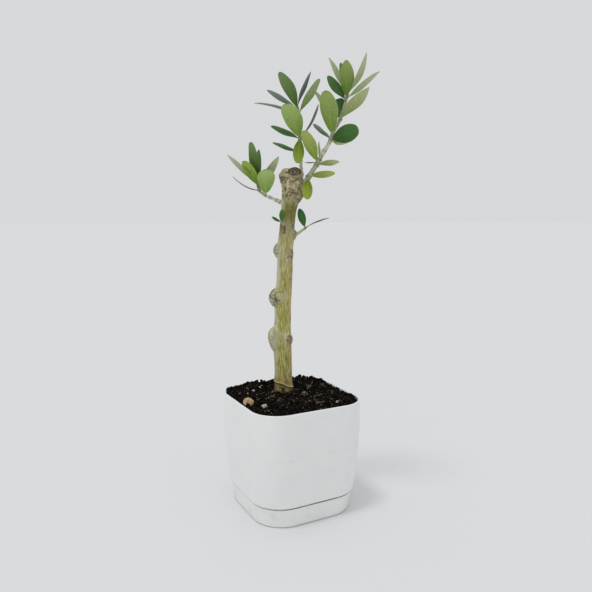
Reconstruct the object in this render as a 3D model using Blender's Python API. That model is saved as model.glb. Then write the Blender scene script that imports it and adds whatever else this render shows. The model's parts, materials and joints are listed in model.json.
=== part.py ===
"""A young potted olive tree at its real size: a cut-back trunk with three leafy boughs and two
sprouts, in a square white plastic pot that stands in its own tray.

The pot's sides lie along X and Y, and the origin is the middle of the tray's flat underside.
The tree is worked out in a frame of its own: x runs along the plane that it spreads in, y away
from its front, z up, from the middle of the trunk's foot. Bearings are degrees from that x axis,
counted anticlockwise from above, and lifts are degrees above level.
"""

import math
from collections import namedtuple

import bmesh
import bpy
import numpy as np

MM = 0.001
GAP = 0.3 * MM  # room between pieces that touch

# Pot and tray, square with round corners
RIM_SIDE = 105.0 * MM
RIM_CORNER = 25.5 * MM
POT_TOP = 101.3 * MM
SEAM_HEIGHT = 18.0 * MM  # the lower lip of the pot, which stands over the tray's edge
SEAM_SIDE = 98.4 * MM
SEAM_CORNER = 28.0 * MM
BODY_BULGE = 1.5 * MM  # how far the pot's sides swell half way up
POT_WALL = 1.9 * MM
RIM_ROUND = 0.5 * MM
FOOT_CLEARANCE = 0.5 * MM  # the pot's foot stands this far inside the tray's wall
POT_FLOOR = 2.6 * MM
TRAY_BASE_SIDE = 92.2 * MM
TRAY_BASE_CORNER = 27.5 * MM
TRAY_LIP_INSET = 1.0 * MM  # the tray's edge lies this far inside the pot's lip
TRAY_WALL = 1.8 * MM
TRAY_FLOOR = 2.0 * MM
TRAY_EDGE_ROUND = 0.9 * MM
CORNER_STEPS = 8
BODY_RINGS = 7

# Soil
SOIL_HEIGHT = 98.2 * MM
SEAT_HEIGHT = 100.2 * MM  # the small mound that the trunk stands on
SEAT_RADIUS = 11.5 * MM
MOUND_RINGS = 5
MOUND_POWER = 3  # the higher, the later the soil starts to rise towards the trunk

# Where the tree stands, and how far its spread is turned from the pot's X side
TREE_FOOT = (0.0, 14.6 * MM, SEAT_HEIGHT + GAP)
TREE_TURN = math.radians(-27.4)

# Trunk: height, lean along x and radius, in mm
TRUNK_STATIONS = np.array([
    (0, 0.0, 9.5), (9, -0.3, 8.3), (40, -0.5, 8.0), (77, -0.4, 7.4), (114, 1.4, 7.0),
    (141, 2.8, 6.9), (163, 4.4, 6.8), (175, 6.4, 7.7), (184, 8.2, 9.4), (192, 8.2, 9.8),
    (199, 7.2, 9.2), (203, 7.0, 8.0), (204.6, 7.0, 5.0),
]) * MM
TRUNK_SIDES = 24
TRUNK_RINGS = 92
TRUNK_DEPTH = 0.88  # the trunk is this much slimmer front to back than across
TRUNK_WAVE = 0.25 * MM
TRUNK_FOLDS = 3  # waves round the trunk
TRUNK_WAVE_RUN = 12 * MM  # height over which the waves turn by one radian

# Knobs and scars where side shoots were cut, in mm and degrees: above, below and wide are how
# far each one spreads up, down and round the trunk
Knob = namedtuple("Knob", "height bearing rise above below wide")
KNOBS = [
    Knob(131.8, 180, 4.2, 5.6, 4.8, 4.5),
    Knob(89.6, 185, 6.2, 7.0, 6.1, 6.0),
    Knob(52.9, 180, 5.8, 6.2, 9.6, 5.5),
    Knob(50.6, -38, 2.8, 4.0, 5.0, 4.5),
    Knob(128.2, -45, 0.9, 5.0, 5.0, 4.0),
    Knob(151.2, -112, 0.8, 4.0, 4.0, 3.5),
    Knob(196.0, 195, 1.6, 4.5, 4.5, 5.0),
    Knob(190.0, -10, 1.6, 4.5, 4.5, 5.0),
    Knob(178.8, -25, 2.6, 3.6, 4.4, 4.0),
]
KNOB_BLUNTNESS = 1.5  # 1 is a bell's outline, more is a flatter top with steeper sides

# The sawn stub on top of the head: the middle of its face, and which way the face looks
STUB_FACE = np.array((10.4, -5.4, 201.3)) * MM
STUB_BEARING = -90
STUB_LIFT = 43
STUB_RADIUS = 5.6 * MM
STUB_LENGTH = 7.5 * MM
STUB_SIDES = 14
STUB_STAND = 0.8 * MM  # the sawn face stands this far proud of the head around it
STUB_REACH = 8.0 * MM  # how far from the stub's axis the head is pressed under the face

# Limbs: the points that each grows through, in mm, and its radius at both ends
Limb = namedtuple("Limb", "points thick thin")
LEFT = Limb([(0.8, -1, 171.3), (-5.4, -2, 174.8), (-12.5, -3, 178.8), (-16.9, -4, 181.3),
             (-20.8, -5, 184.8), (-22.6, -5, 190.5)], 1.6 * MM, 1.0 * MM)
CENTRE = Limb([(14.3, 2, 192.6), (16.9, 4, 198), (16.1, 5, 208), (15.4, 5, 217), (15.2, 5, 231.5),
               (14.8, 5, 249), (12.5, 4, 259)], 1.7 * MM, 1.0 * MM)
RIGHT = Limb([(15.2, -1, 187), (20.5, -1, 193.5), (28.9, -2, 206), (34.6, -3, 216),
              (41.9, -4, 228.2), (44.9, -5, 236.3), (50.9, -5, 247.7), (55.5, -6, 264),
              (56.3, -6, 269)], 2.4 * MM, 1.1 * MM)
LEFT_SPROUT = Limb([(1.8, -3, 154), (0.2, -6, 155.4), (-1.5, -8.5, 156.8)], 1.3 * MM, 0.9 * MM)
RIGHT_SPROUT = Limb([(7.5, -0.5, 142.5), (14.3, -2, 147.6), (20.1, -3, 151.7)],
                    1.5 * MM, 0.9 * MM)
LIMB_SIDES = 8
LIMB_RING_SPACING = 2.5 * MM

# Leaves: place along the limb from 0 to 1, then bearing and lift in degrees, length and width
# in mm, roll about the leaf's own length, and how far it bends down along its length
Leaf = namedtuple("Leaf", "place bearing lift length width roll bend", defaults=(0, 15))
LEFT_LEAVES = [
    Leaf(0.58, -85, 40, 33, 15, 5), Leaf(0.80, -135, 20, 33, 8, -22, -30),
    Leaf(0.83, -45, 45, 37, 11, 10), Leaf(0.92, -115, 40, 32, 11),
    Leaf(0.92, 90, 70, 36, 9, -65), Leaf(0.97, -140, 37, 40, 10), Leaf(0.97, -100, 55, 42, 8, -25),
]
CENTRE_LOWER_LEAVES = [
    Leaf(0.40, -155, 15, 28, 9, -40), Leaf(0.57, 60, 30, 17, 8, -70),
    Leaf(0.58, -100, -60, 25, 10, -30), Leaf(0.59, 160, 25, 30, 10, -35),
    Leaf(0.57, 50, 52, 44, 8, -35, -25), Leaf(0.60, -113, 40, 37, 19, 10),
]
CENTRE_TOP_LEAVES = [
    Leaf(0.87, 163, 15, 45, 9, 15, 35), Leaf(0.87, -55, 45, 39, 11, 5),
    Leaf(0.98, -120, 45, 36, 12, 5), Leaf(0.96, 180, 30, 32, 10, -45),
    Leaf(0.98, 40, 65, 37, 8, -28),
]
RIGHT_LOWER_LEAVES = [
    Leaf(0.13, -107, -50, 26, 10, -25), Leaf(0.14, -30, 5, 26, 8, -45),
    Leaf(0.30, -37, -3, 23, 8, -18), Leaf(0.29, 140, 5, 15, 6, -10),
    Leaf(0.31, -127, 44, 33, 10, 25), Leaf(0.33, 90, 60, 19, 7, -110),
]
RIGHT_MIDDLE_LEAVES = [
    Leaf(0.54, 33, -7, 23, 8, -13), Leaf(0.54, -50, 8, 34, 16, 105),
    Leaf(0.54, 145, 40, 24, 10, -10), Leaf(0.57, -105, 50, 44, 16),
    Leaf(0.59, 150, 57, 51, 9, 50, 30),
]
RIGHT_TOP_LEAVES = [
    Leaf(0.74, 85, 53, 26, 11, -40), Leaf(0.76, -58, 25, 42, 11),
    Leaf(0.92, 145, 50, 30, 10, -30), Leaf(0.93, 20, 40, 40, 9, -40),
    Leaf(0.95, -95, 40, 38, 12, -15), Leaf(0.95, 100, 60, 38, 8, 40),
    Leaf(0.98, 145, 60, 38, 8, 45), Leaf(0.98, -70, 35, 42, 9, 20),
]
LEFT_SPROUT_LEAVES = [Leaf(0.96, -80, 65, 13, 4), Leaf(0.94, 180, 30, 10, 4, -40)]
RIGHT_SPROUT_LEAVES = [Leaf(0.97, 123, 63, 20, 7, -35), Leaf(0.97, -33, 20, 27, 7, 18, 30)]
LEAF_STATIONS = 10
PETIOLE_SHARE = 0.08  # of the leaf's length
PETIOLE_HALF_WIDTH = 0.6 * MM
PETIOLE_TAPER = 0.8
LEAF_HALF_THICKNESS = 0.35 * MM
LEAF_THICKNESS_SHARES = (1.3, 0.3)  # of that at the leaf's root and at its tip
LEAF_TIPWARD = 1.5  # how far past its middle a round leaf is widest
LEAF_SLIM_PULL = 0.6  # how much of that a slim leaf loses
LEAF_CUP = 0.16  # how far the blade's edges turn down, against its half width

# Each bough and mass of leaves: its limb, and the stretch of the limb that it takes
BOUGHS = [
    ("left_bough", LEFT, 0.0, 0.55),
    ("centre_bough", CENTRE, 0.0, 0.36),
    ("right_bough", RIGHT, 0.0, 0.10),
    ("right_upper_bough", RIGHT, 0.38, 0.50),
]
SPRAYS = [
    ("left_spray", LEFT, 0.55, 1.0, LEFT_LEAVES),
    ("centre_lower_spray", CENTRE, 0.36, 0.82, CENTRE_LOWER_LEAVES),
    ("centre_top_spray", CENTRE, 0.82, 1.0, CENTRE_TOP_LEAVES),
    ("right_lower_spray", RIGHT, 0.10, 0.38, RIGHT_LOWER_LEAVES),
    ("right_middle_spray", RIGHT, 0.50, 0.68, RIGHT_MIDDLE_LEAVES),
    ("right_top_spray", RIGHT, 0.68, 1.0, RIGHT_TOP_LEAVES),
    ("left_sprout", LEFT_SPROUT, 0.0, 1.0, LEFT_SPROUT_LEAVES),
    ("right_sprout", RIGHT_SPROUT, 0.0, 1.0, RIGHT_SPROUT_LEAVES),
]
CURVE_STEPS = 40  # steps between two given points of a smooth curve


def clear_scene():
    for obj in list(bpy.data.objects):
        bpy.data.objects.remove(obj, do_unlink=True)


def plain_material(name, colour, roughness):
    """A Principled material with a plain base colour, which isn't metallic."""
    material = bpy.data.materials.new(name)
    material.use_nodes = True
    shader = material.node_tree.nodes["Principled BSDF"]
    shader.inputs["Base Color"].default_value = (*colour, 1.0)
    shader.inputs["Roughness"].default_value = roughness
    shader.inputs["Metallic"].default_value = 0.0
    material.diffuse_color = (*colour, 1.0)
    return material


def stacked_object(name, rings, material):
    """A closed solid from rings of equally many points: sides between them, and both ends capped."""
    rings = np.asarray(rings)
    count, sides = rings.shape[:2]
    faces = [
        (ring * sides + i, ring * sides + (i + 1) % sides,
         (ring + 1) * sides + (i + 1) % sides, (ring + 1) * sides + i)
        for ring in range(count - 1) for i in range(sides)
    ]
    faces.append(tuple(range(sides))[::-1])
    faces.append(tuple(range((count - 1) * sides, count * sides)))
    mesh = bpy.data.meshes.new(name)
    mesh.from_pydata(rings.reshape(-1, 3).tolist(), [], faces)
    edit = bmesh.new()
    edit.from_mesh(mesh)
    bmesh.ops.recalc_face_normals(edit, faces=edit.faces)
    edit.to_mesh(mesh)
    edit.free()
    mesh.materials.append(material)
    obj = bpy.data.objects.new(name, mesh)
    bpy.context.scene.collection.objects.link(obj)
    return obj


def join_by_boolean(obj, others, operation, solver="EXACT"):
    """Applies one Boolean of this object with all the others, and removes them."""
    group = bpy.data.collections.new(obj.name + "_operands")
    bpy.context.scene.collection.children.link(group)
    for other in others:
        bpy.context.scene.collection.objects.unlink(other)
        group.objects.link(other)
    boolean = obj.modifiers.new(operation.lower(), "BOOLEAN")
    boolean.operation = operation
    boolean.solver = solver
    boolean.operand_type = "COLLECTION"
    boolean.collection = group
    bpy.context.view_layer.update()
    result = bpy.data.meshes.new_from_object(obj.evaluated_get(bpy.context.evaluated_depsgraph_get()))
    obj.modifiers.clear()
    obj.data = result
    result.name = obj.name
    for other in others:
        bpy.data.objects.remove(other, do_unlink=True)
    bpy.data.collections.remove(group)


def shade(obj, sharp_angle=40):
    obj.data.shade_smooth()
    obj.data.set_sharp_from_angle(angle=math.radians(sharp_angle))


# Pot, tray and soil


def rounded_square(side, corner, height):
    """A ring of points round a square with round corners."""
    inner = side / 2 - corner
    quarter = np.radians(np.linspace(0, 90, CORNER_STEPS + 1))
    angles = np.concatenate([quarter + math.pi / 2 * k for k in range(4)])
    middles = np.repeat([(1, 1), (-1, 1), (-1, -1), (1, -1)], CORNER_STEPS + 1, axis=0) * inner
    flat = middles + corner * np.column_stack([np.cos(angles), np.sin(angles)])
    return np.column_stack([flat, np.full(len(flat), height)])


def body_section(height, inset=0.0):
    """The pot's outer section at a height, set in by a wall or a gap."""
    t = (height - SEAM_HEIGHT) / (POT_TOP - SEAM_HEIGHT)
    side = SEAM_SIDE + (RIM_SIDE - SEAM_SIDE) * t + 2 * BODY_BULGE * math.sin(math.pi * t)
    corner = SEAM_CORNER + (RIM_CORNER - SEAM_CORNER) * t
    return rounded_square(side - 2 * inset, corner - inset, height)


def tray_section(height, inset=0.0):
    """The tray's outer section at a height, set in by a wall or a gap."""
    top = SEAM_HEIGHT - GAP
    t = height / top
    side = TRAY_BASE_SIDE + (SEAM_SIDE - 2 * TRAY_LIP_INSET - TRAY_BASE_SIDE) * t
    corner = TRAY_BASE_CORNER + (SEAM_CORNER - TRAY_LIP_INSET - TRAY_BASE_CORNER) * t
    return rounded_square(side - 2 * inset, corner - inset, height)


def make_tray(material):
    """The tray: its base edge is a quarter of a circle, and inside it has a flat floor."""
    top = SEAM_HEIGHT - GAP
    rings = [
        tray_section(TRAY_EDGE_ROUND * (1 - math.cos(angle)), TRAY_EDGE_ROUND * (1 - math.sin(angle)))
        for angle in np.radians((0, 45, 90))
    ]
    rings += [tray_section(top, 0.0), tray_section(top, TRAY_WALL),
              tray_section(TRAY_FLOOR, TRAY_WALL)]
    shade(stacked_object("tray", rings, material))


FOOT_INSET = TRAY_WALL + FOOT_CLEARANCE
SHELF_HEIGHT = SEAM_HEIGHT + POT_WALL
FOOT_BASE = TRAY_FLOOR + GAP


def body_heights(lowest, highest):
    return np.linspace(lowest, highest, BODY_RINGS)


def make_pot(material):
    """The pot's shell: a foot that stands in the tray, a shelf out to the lip, the body and the rim."""
    foot_wall = FOOT_INSET + POT_WALL
    rings = [tray_section(FOOT_BASE, FOOT_INSET), tray_section(SEAM_HEIGHT, FOOT_INSET)]
    rings += [body_section(z) for z in body_heights(SEAM_HEIGHT, POT_TOP - RIM_ROUND)]
    rings += [body_section(POT_TOP, RIM_ROUND), body_section(POT_TOP, POT_WALL - RIM_ROUND)]
    rings += [body_section(z, POT_WALL)
              for z in body_heights(SHELF_HEIGHT, POT_TOP - RIM_ROUND)[::-1]]
    rings += [tray_section(SHELF_HEIGHT, foot_wall),
              tray_section(FOOT_BASE + POT_FLOOR, foot_wall)]
    shade(stacked_object("pot", rings, material))


def make_soil(material):
    """The soil fills the pot to just under its rim and rises to a small flat mound at the trunk."""
    foot_wall = FOOT_INSET + POT_WALL + GAP
    wall = POT_WALL + GAP
    rings = [tray_section(FOOT_BASE + POT_FLOOR + GAP, foot_wall),
             tray_section(SHELF_HEIGHT + GAP, foot_wall)]
    rings += [body_section(z, wall) for z in body_heights(SHELF_HEIGHT + GAP, SOIL_HEIGHT)]
    edge = rings[-1]
    directions = edge[:, :2] - np.array(TREE_FOOT[:2])
    bearings = np.arctan2(directions[:, 1], directions[:, 0])
    seat = np.column_stack([
        TREE_FOOT[0] + SEAT_RADIUS * np.cos(bearings),
        TREE_FOOT[1] + SEAT_RADIUS * np.sin(bearings),
        np.full(len(bearings), SEAT_HEIGHT),
    ])
    for step in range(1, MOUND_RINGS + 1):
        share = step / MOUND_RINGS
        ring = edge + (seat - edge) * share
        ring[:, 2] = SOIL_HEIGHT + (SEAT_HEIGHT - SOIL_HEIGHT) * share ** MOUND_POWER
        rings.append(ring)
    shade(stacked_object("soil", rings, material))


# Trunk and limbs


def smooth_through(points, places):
    """Points on one smooth curve through the given ones, at these places from 0 to 1 along it."""
    points = np.asarray(points, float)
    padded = np.vstack([2 * points[0] - points[1], points, 2 * points[-1] - points[-2]])
    steps = np.linspace(0, len(points) - 1, CURVE_STEPS * (len(points) - 1) + 1)
    span = np.minimum(steps.astype(int), len(points) - 2)
    t = (steps - span)[:, None]
    before, here, after, beyond = (padded[span + k] for k in range(4))
    curve = 0.5 * (2 * here + (after - before) * t
                   + (2 * before - 5 * here + 4 * after - beyond) * t ** 2
                   + (3 * here - before - 3 * after + beyond) * t ** 3)
    run = np.concatenate([[0], np.cumsum(np.linalg.norm(np.diff(curve, axis=0), axis=1))])
    wanted = np.asarray(places) * run[-1]
    return np.column_stack([np.interp(wanted, run, column) for column in curve.T])


def direction(bearing, lift):
    bearing, lift = math.radians(bearing), math.radians(lift)
    return np.array([math.cos(bearing) * math.cos(lift), math.sin(bearing) * math.cos(lift),
                     math.sin(lift)])


def pressed_under_face(points, swell):
    """Points near the stub's axis that would stand above the sawn face are moved back under it."""
    axis = direction(STUB_BEARING, STUB_LIFT)
    from_face = points - STUB_FACE
    along = from_face @ axis
    across = np.linalg.norm(from_face - along[..., None] * axis, axis=-1)
    near = np.exp(-(across / STUB_REACH) ** 4)
    return points - (np.maximum(along + STUB_STAND - swell, 0) * near)[..., None] * axis


def trunk_rings(swell=0.0):
    """The trunk's radius is a function of height and bearing: taper, flare, head and knobs."""
    heights, leans, radii = smooth_through(TRUNK_STATIONS, np.linspace(0, 1, TRUNK_RINGS)).T
    heights, leans, radii = (row[:, None] for row in (heights, leans, radii))
    bearings = np.radians(np.arange(TRUNK_SIDES) * 360 / TRUNK_SIDES)[None, :]
    reach = radii + TRUNK_WAVE * np.sin(TRUNK_FOLDS * bearings + heights / TRUNK_WAVE_RUN) + swell
    top = TRUNK_STATIONS[-1, 0]
    for knob in KNOBS:
        away = (bearings - math.radians(knob.bearing) + math.pi) % (2 * math.pi) - math.pi
        from_knob = heights - knob.height * MM
        along = from_knob / (np.where(from_knob > 0, knob.above, knob.below) * MM)
        across = away * radii / (knob.wide * MM)
        bump = np.exp(-(along ** 2 + across ** 2) ** KNOB_BLUNTNESS)
        reach = reach + knob.rise * MM * bump * (heights < top)
    rise = np.where(heights > top / 2, swell, -swell)
    points = np.stack([
        leans + reach * np.cos(bearings),
        reach * np.sin(bearings) * TRUNK_DEPTH,
        np.broadcast_to(heights + rise, reach.shape),
    ], axis=-1)
    return pressed_under_face(points, swell)


def round_section(middle, axis, radius, sides):
    """A ring of points round a middle, square to an axis that doesn't run along y."""
    side = np.cross(axis, (0, 1, 0))
    side /= np.linalg.norm(side)
    other = np.cross(side, axis)
    angles = np.arange(sides) * 2 * math.pi / sides
    return middle + radius * (np.outer(np.cos(angles), side) + np.outer(np.sin(angles), other))


def make_trunk(material):
    trunk = stacked_object("trunk", trunk_rings(), material)
    axis = direction(STUB_BEARING, STUB_LIFT)
    stub = stacked_object("stub", [
        round_section(STUB_FACE - axis * STUB_LENGTH, axis, STUB_RADIUS, STUB_SIDES),
        round_section(STUB_FACE, axis, STUB_RADIUS, STUB_SIDES),
    ], material)
    join_by_boolean(trunk, [stub], "UNION")
    shade(trunk)
    return trunk


def limb_object(name, limb, start, stop, material):
    """One stretch of a limb: a round section that tapers along the curve through its points."""
    points = np.array(limb.points) * MM
    length = np.linalg.norm(np.diff(points, axis=0), axis=1).sum()
    rings = max(3, round((stop - start) * length / LIMB_RING_SPACING))
    inset = GAP / 2 / length
    places = np.linspace(start + inset * (start > 0), stop - inset * (stop < 1), rings)
    middles = smooth_through(points, places)
    axes = np.gradient(middles, axis=0)
    axes /= np.linalg.norm(axes, axis=1)[:, None]
    radii = limb.thick + (limb.thin - limb.thick) * places
    return stacked_object(name, [
        round_section(middle, axis, radius, LIMB_SIDES)
        for middle, axis, radius in zip(middles, axes, radii)
    ], material)


def leaf_object(limb, leaf, material):
    """A leaf as rings of four points: both edges, and the middle of its upper and lower face.

    It starts on the limb's centre line. Its blade is a lens on a short stalk, rounder and wider
    past the middle the broader it is. The blade bends evenly, and its edges turn down a little.
    """
    root = smooth_through(np.array(limb.points) * MM, [leaf.place])[0]
    ahead = direction(leaf.bearing, leaf.lift)
    up = direction(leaf.bearing, leaf.lift + 90)
    side = np.cross(ahead, up)
    roll = math.radians(leaf.roll)
    normal = math.cos(roll) * up + math.sin(roll) * side
    side = math.cos(roll) * side - math.sin(roll) * up

    share = np.linspace(0, 1, LEAF_STATIONS)
    slope = math.radians(leaf.bend) * (0.5 - share)
    step = leaf.length * MM / (LEAF_STATIONS - 1)
    mid_slope = (slope[1:] + slope[:-1]) / 2
    run = np.concatenate([[0], np.cumsum(step * np.cos(mid_slope))])[:, None]
    rise = np.concatenate([[0], np.cumsum(step * np.sin(mid_slope))])[:, None]
    spine = root + ahead * run + normal * rise
    normals = normal * np.cos(slope)[:, None] - ahead * np.sin(slope)[:, None]

    blade = np.clip((share - PETIOLE_SHARE) / (1 - PETIOLE_SHARE), 0, 1)
    slimness = 1 - leaf.width / leaf.length
    widest = LEAF_TIPWARD - LEAF_SLIM_PULL * slimness
    half = leaf.width * MM / 2 * np.sin(math.pi * blade ** widest) ** slimness
    half = np.maximum(half, PETIOLE_HALF_WIDTH * (1 - PETIOLE_TAPER * share))[:, None]
    thick = LEAF_HALF_THICKNESS * np.interp(share, (0, 1), LEAF_THICKNESS_SHARES)[:, None]
    drop = normals * half * LEAF_CUP * np.sin(math.pi * share)[:, None]
    rings = np.stack([spine + side * half - drop, spine + normals * thick,
                      spine - side * half - drop, spine - normals * thick], axis=1)
    return stacked_object("leaf", rings, material)


def make_crown(trunk_mass, bark, foliage):
    """Boughs and masses of leaves, each kept clear of the trunk by the gap."""
    made = []
    for name, limb, start, stop in BOUGHS:
        made.append((limb_object(name, limb, start, stop, bark), start))
    for name, limb, start, stop, leaves in SPRAYS:
        spray = limb_object(name, limb, start, stop, foliage)
        blades = [leaf_object(limb, leaf, foliage) for leaf in leaves]
        join_by_boolean(spray, blades, "UNION")
        made.append((spray, start))
    for obj, start in made:
        if start == 0:
            cutter = bpy.data.objects.new("trunk_space", trunk_mass)
            bpy.context.scene.collection.objects.link(cutter)
            join_by_boolean(obj, [cutter], "DIFFERENCE")
        shade(obj)
    return [obj for obj, _ in made]


def place_tree(pieces):
    tree = bpy.data.objects.new("tree", None)
    tree.location = TREE_FOOT
    tree.rotation_euler = (0, 0, TREE_TURN)
    bpy.context.scene.collection.objects.link(tree)
    for piece in pieces:
        piece.parent = tree


def main():
    clear_scene()
    white_plastic = plain_material("white_plastic", (0.80, 0.81, 0.80), 0.25)
    potting_mix = plain_material("potting_mix", (0.02, 0.016, 0.012), 0.95)
    bark = plain_material("bark", (0.32, 0.30, 0.17), 0.8)
    foliage = plain_material("foliage", (0.12, 0.22, 0.06), 0.5)
    make_tray(white_plastic)
    make_pot(white_plastic)
    make_soil(potting_mix)
    swollen = stacked_object("trunk_space", trunk_rings(GAP), bark)
    swollen_mesh = swollen.data
    bpy.data.objects.remove(swollen, do_unlink=True)
    trunk = make_trunk(bark)
    place_tree([trunk, *make_crown(swollen_mesh, bark, foliage)])


main()
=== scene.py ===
"""Looks of a young potted olive tree, laid out as a Blender add-on with one button for each piece.

The tree is worked out in a frame of its own: x runs along the plane that it spreads in, y away
from its front, z up, from the middle of the trunk's foot. Bearings are degrees from that x axis,
counted anticlockwise from above, and lifts are degrees above level. Pot, tray and soil use the
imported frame's axes. Every piece is a surface from numpy arrays, and its place is in its mesh.
"""

import itertools
import json
import math
from collections import namedtuple

import bmesh
import bpy
import numpy as np
from bpy.props import FloatProperty, FloatVectorProperty, IntProperty, PointerProperty
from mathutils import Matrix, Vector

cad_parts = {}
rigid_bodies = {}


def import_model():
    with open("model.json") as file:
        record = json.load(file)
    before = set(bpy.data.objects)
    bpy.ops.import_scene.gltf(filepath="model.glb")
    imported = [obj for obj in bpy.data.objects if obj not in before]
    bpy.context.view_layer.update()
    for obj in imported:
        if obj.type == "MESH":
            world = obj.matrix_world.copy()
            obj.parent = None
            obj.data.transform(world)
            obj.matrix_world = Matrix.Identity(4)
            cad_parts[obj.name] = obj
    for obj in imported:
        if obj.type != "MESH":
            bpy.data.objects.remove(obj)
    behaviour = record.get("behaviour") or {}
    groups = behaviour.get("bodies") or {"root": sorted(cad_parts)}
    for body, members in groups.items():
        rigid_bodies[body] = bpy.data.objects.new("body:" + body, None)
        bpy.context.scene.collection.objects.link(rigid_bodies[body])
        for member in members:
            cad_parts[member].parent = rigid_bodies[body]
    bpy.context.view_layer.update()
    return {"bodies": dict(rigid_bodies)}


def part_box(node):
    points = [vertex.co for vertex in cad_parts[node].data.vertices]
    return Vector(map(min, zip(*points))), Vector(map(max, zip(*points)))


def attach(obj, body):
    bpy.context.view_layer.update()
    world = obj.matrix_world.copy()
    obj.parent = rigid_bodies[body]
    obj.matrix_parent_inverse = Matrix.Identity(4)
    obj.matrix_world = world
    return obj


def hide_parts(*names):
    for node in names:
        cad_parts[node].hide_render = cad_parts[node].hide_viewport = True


bl_info = {
    "name": "Potted olive tree",
    "version": (1, 0, 0),
    "blender": (4, 5, 0),
    "location": "3D View > Sidebar > Olive",
    "description": "Builds the looks of a young potted olive tree around its packed frame",
    "category": "Object",
}

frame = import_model()
BODY = next(iter(frame["bodies"]))

MM = 0.001
GAP = 0.3 * MM

# Pot and tray
POT_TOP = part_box("pot")[1].z
RIM_SIDE = 105.0 * MM
RIM_CORNER = 25.5 * MM
SEAM_HEIGHT = 18.0 * MM
SEAM_SIDE = 98.4 * MM
SEAM_CORNER = 28.0 * MM
BODY_BULGE = 1.5 * MM
POT_WALL = 1.9 * MM
LIP_ROUND = 0.55 * MM
SHELF = 1.9 * MM
FOOT_CLEARANCE = 0.5 * MM
POT_FLOOR = 2.6 * MM
TRAY_BASE_SIDE = 92.2 * MM
TRAY_BASE_CORNER = 27.5 * MM
TRAY_LIP_INSET = 1.0 * MM
TRAY_WALL = 1.8 * MM
TRAY_FLOOR = 2.0 * MM
TRAY_EDGE_ROUND = 0.9 * MM
TRAY_LIP_ROUND = 0.5 * MM
TRAY_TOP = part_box("tray")[1].z
SCUFF_HEIGHT = 63.0 * MM
SCUFF_WOBBLE = 2.4 * MM

# Soil
SOIL_LEVEL = 99.0 * MM
HEAP_RISE = 2.3 * MM  # the soil stands this much higher along the two back edges
SEAT_RISE = 1.4 * MM
SEAT_REACH = 16.0 * MM
CLOD_RANGE = (0.55 * MM, 2.1 * MM)
# Larger roots on the soil: start in x and y, heading in degrees, bend in radians, length, radius
LARGE_ROOTS = [(18.7, 11.3, 14, 0.25, 19, 0.85), (6.6, 0.2, -50, -0.5, 11, 0.6),
               (-11, 8, -150, 0.5, 27, 0.42), (-9, 3, -120, 0.6, 20, 0.36),
               (12, -12, -20, 0.7, 22, 0.45), (2, -22, 10, -0.6, 17, 0.4), (30, 22, -60, 0.4, 18, 0.45)]

# Where the tree stands
TREE_FOOT = np.array((0.0, 14.6 * MM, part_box("trunk")[0].z))
TREE_TURN = math.radians(-27.4)

# Trunk: height, lean along x and radius, in mm
TRUNK_STATIONS = np.array([
    (0, 0.0, 9.5), (9, -0.3, 8.3), (40, -0.5, 8.0), (77, -0.4, 7.4), (114, 1.4, 7.0),
    (141, 2.8, 6.9), (163, 4.4, 6.8), (175, 6.4, 7.7), (184, 8.2, 9.4), (192, 8.2, 9.8),
    (199, 7.2, 9.2), (203, 7.0, 8.0), (204.6, 7.0, 5.0),
]) * MM
TRUNK_RINGS = 430
TRUNK_COLUMNS = 160
TRUNK_DEPTH = 0.88
TRUNK_WAVE = 0.25 * MM
TRUNK_FOLDS = 3  # waves round the trunk
TRUNK_WAVE_RUN = 12 * MM

# Knobs and scars where side shoots were cut, in mm and degrees: above, below and wide are how
# far each spreads up, down and round the trunk. Then how rough, brown and grey each is, 0 to 1
Knob = namedtuple("Knob", "height bearing rise above below wide rough brown grey")
KNOBS = [
    Knob(131.8, 184, 4.2, 6.8, 7.0, 5.8, 1.0, 0.10, 0.8),
    Knob(89.6, 193, 6.5, 7.9, 10.0, 8.2, 1.0, 0.15, 0.6),
    Knob(52.9, 185, 5.8, 8.4, 14.5, 7.2, 0.45, 0.05, 0.6),
    Knob(50.6, -38, 2.8, 4.4, 5.6, 5.2, 0.9, 0.60, 0.0),
    Knob(128.2, -45, 0.9, 6.0, 6.0, 4.8, 0.8, 0.55, 0.0),
    Knob(151.5, -118, 0.8, 5.5, 5.5, 5.0, 1.0, 0.80, 0.0),
    Knob(146.6, -10, 2.6, 3.6, 6.4, 4.2, 0.6, 0.40, 0.0),
    Knob(196.0, 195, 1.6, 5.4, 5.4, 6.0, 1.0, 0.10, 0.8),
    Knob(190.0, -10, 1.6, 5.4, 5.4, 6.0, 0.6, 0.25, 0.0),
    Knob(178.8, -25, 2.6, 4.2, 5.2, 4.8, 0.9, 0.60, 0.0),
]
KNOB_DOME = (2.0, 0.7)  # powers of the dome's section: of the way out, and of the height

# Small pits, painted dark with shade: height, bearing, depth and radius in mm and degrees
PITS = [(186.8, -136, 1.8, 1.4), (184.9, -134, 1.2, 1.1), (180.5, -116, 0.5, 1.0),
        (180.2, -99, 0.5, 0.9), (185.1, -84, 0.6, 0.9), (168.6, -45, 0.5, 0.7),
        (170.5, -60, 0.4, 0.6), (150.2, -106, 0.6, 0.8), (152.6, -117, 0.5, 0.7),
        (126.2, -38, 0.5, 0.7), (130.4, -47, 0.4, 0.6), (48.6, -26, 1.0, 1.0), (52.2, -47, 0.6, 0.7)]

# The one ridge round the trunk's foot, with the recess under it
FOOT_RIDGE_HEIGHT = 7.4 * MM
FOOT_RIDGE_TILT = 3.4 * MM
FOOT_RIDGE_BEARING = math.radians(200)

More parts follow.
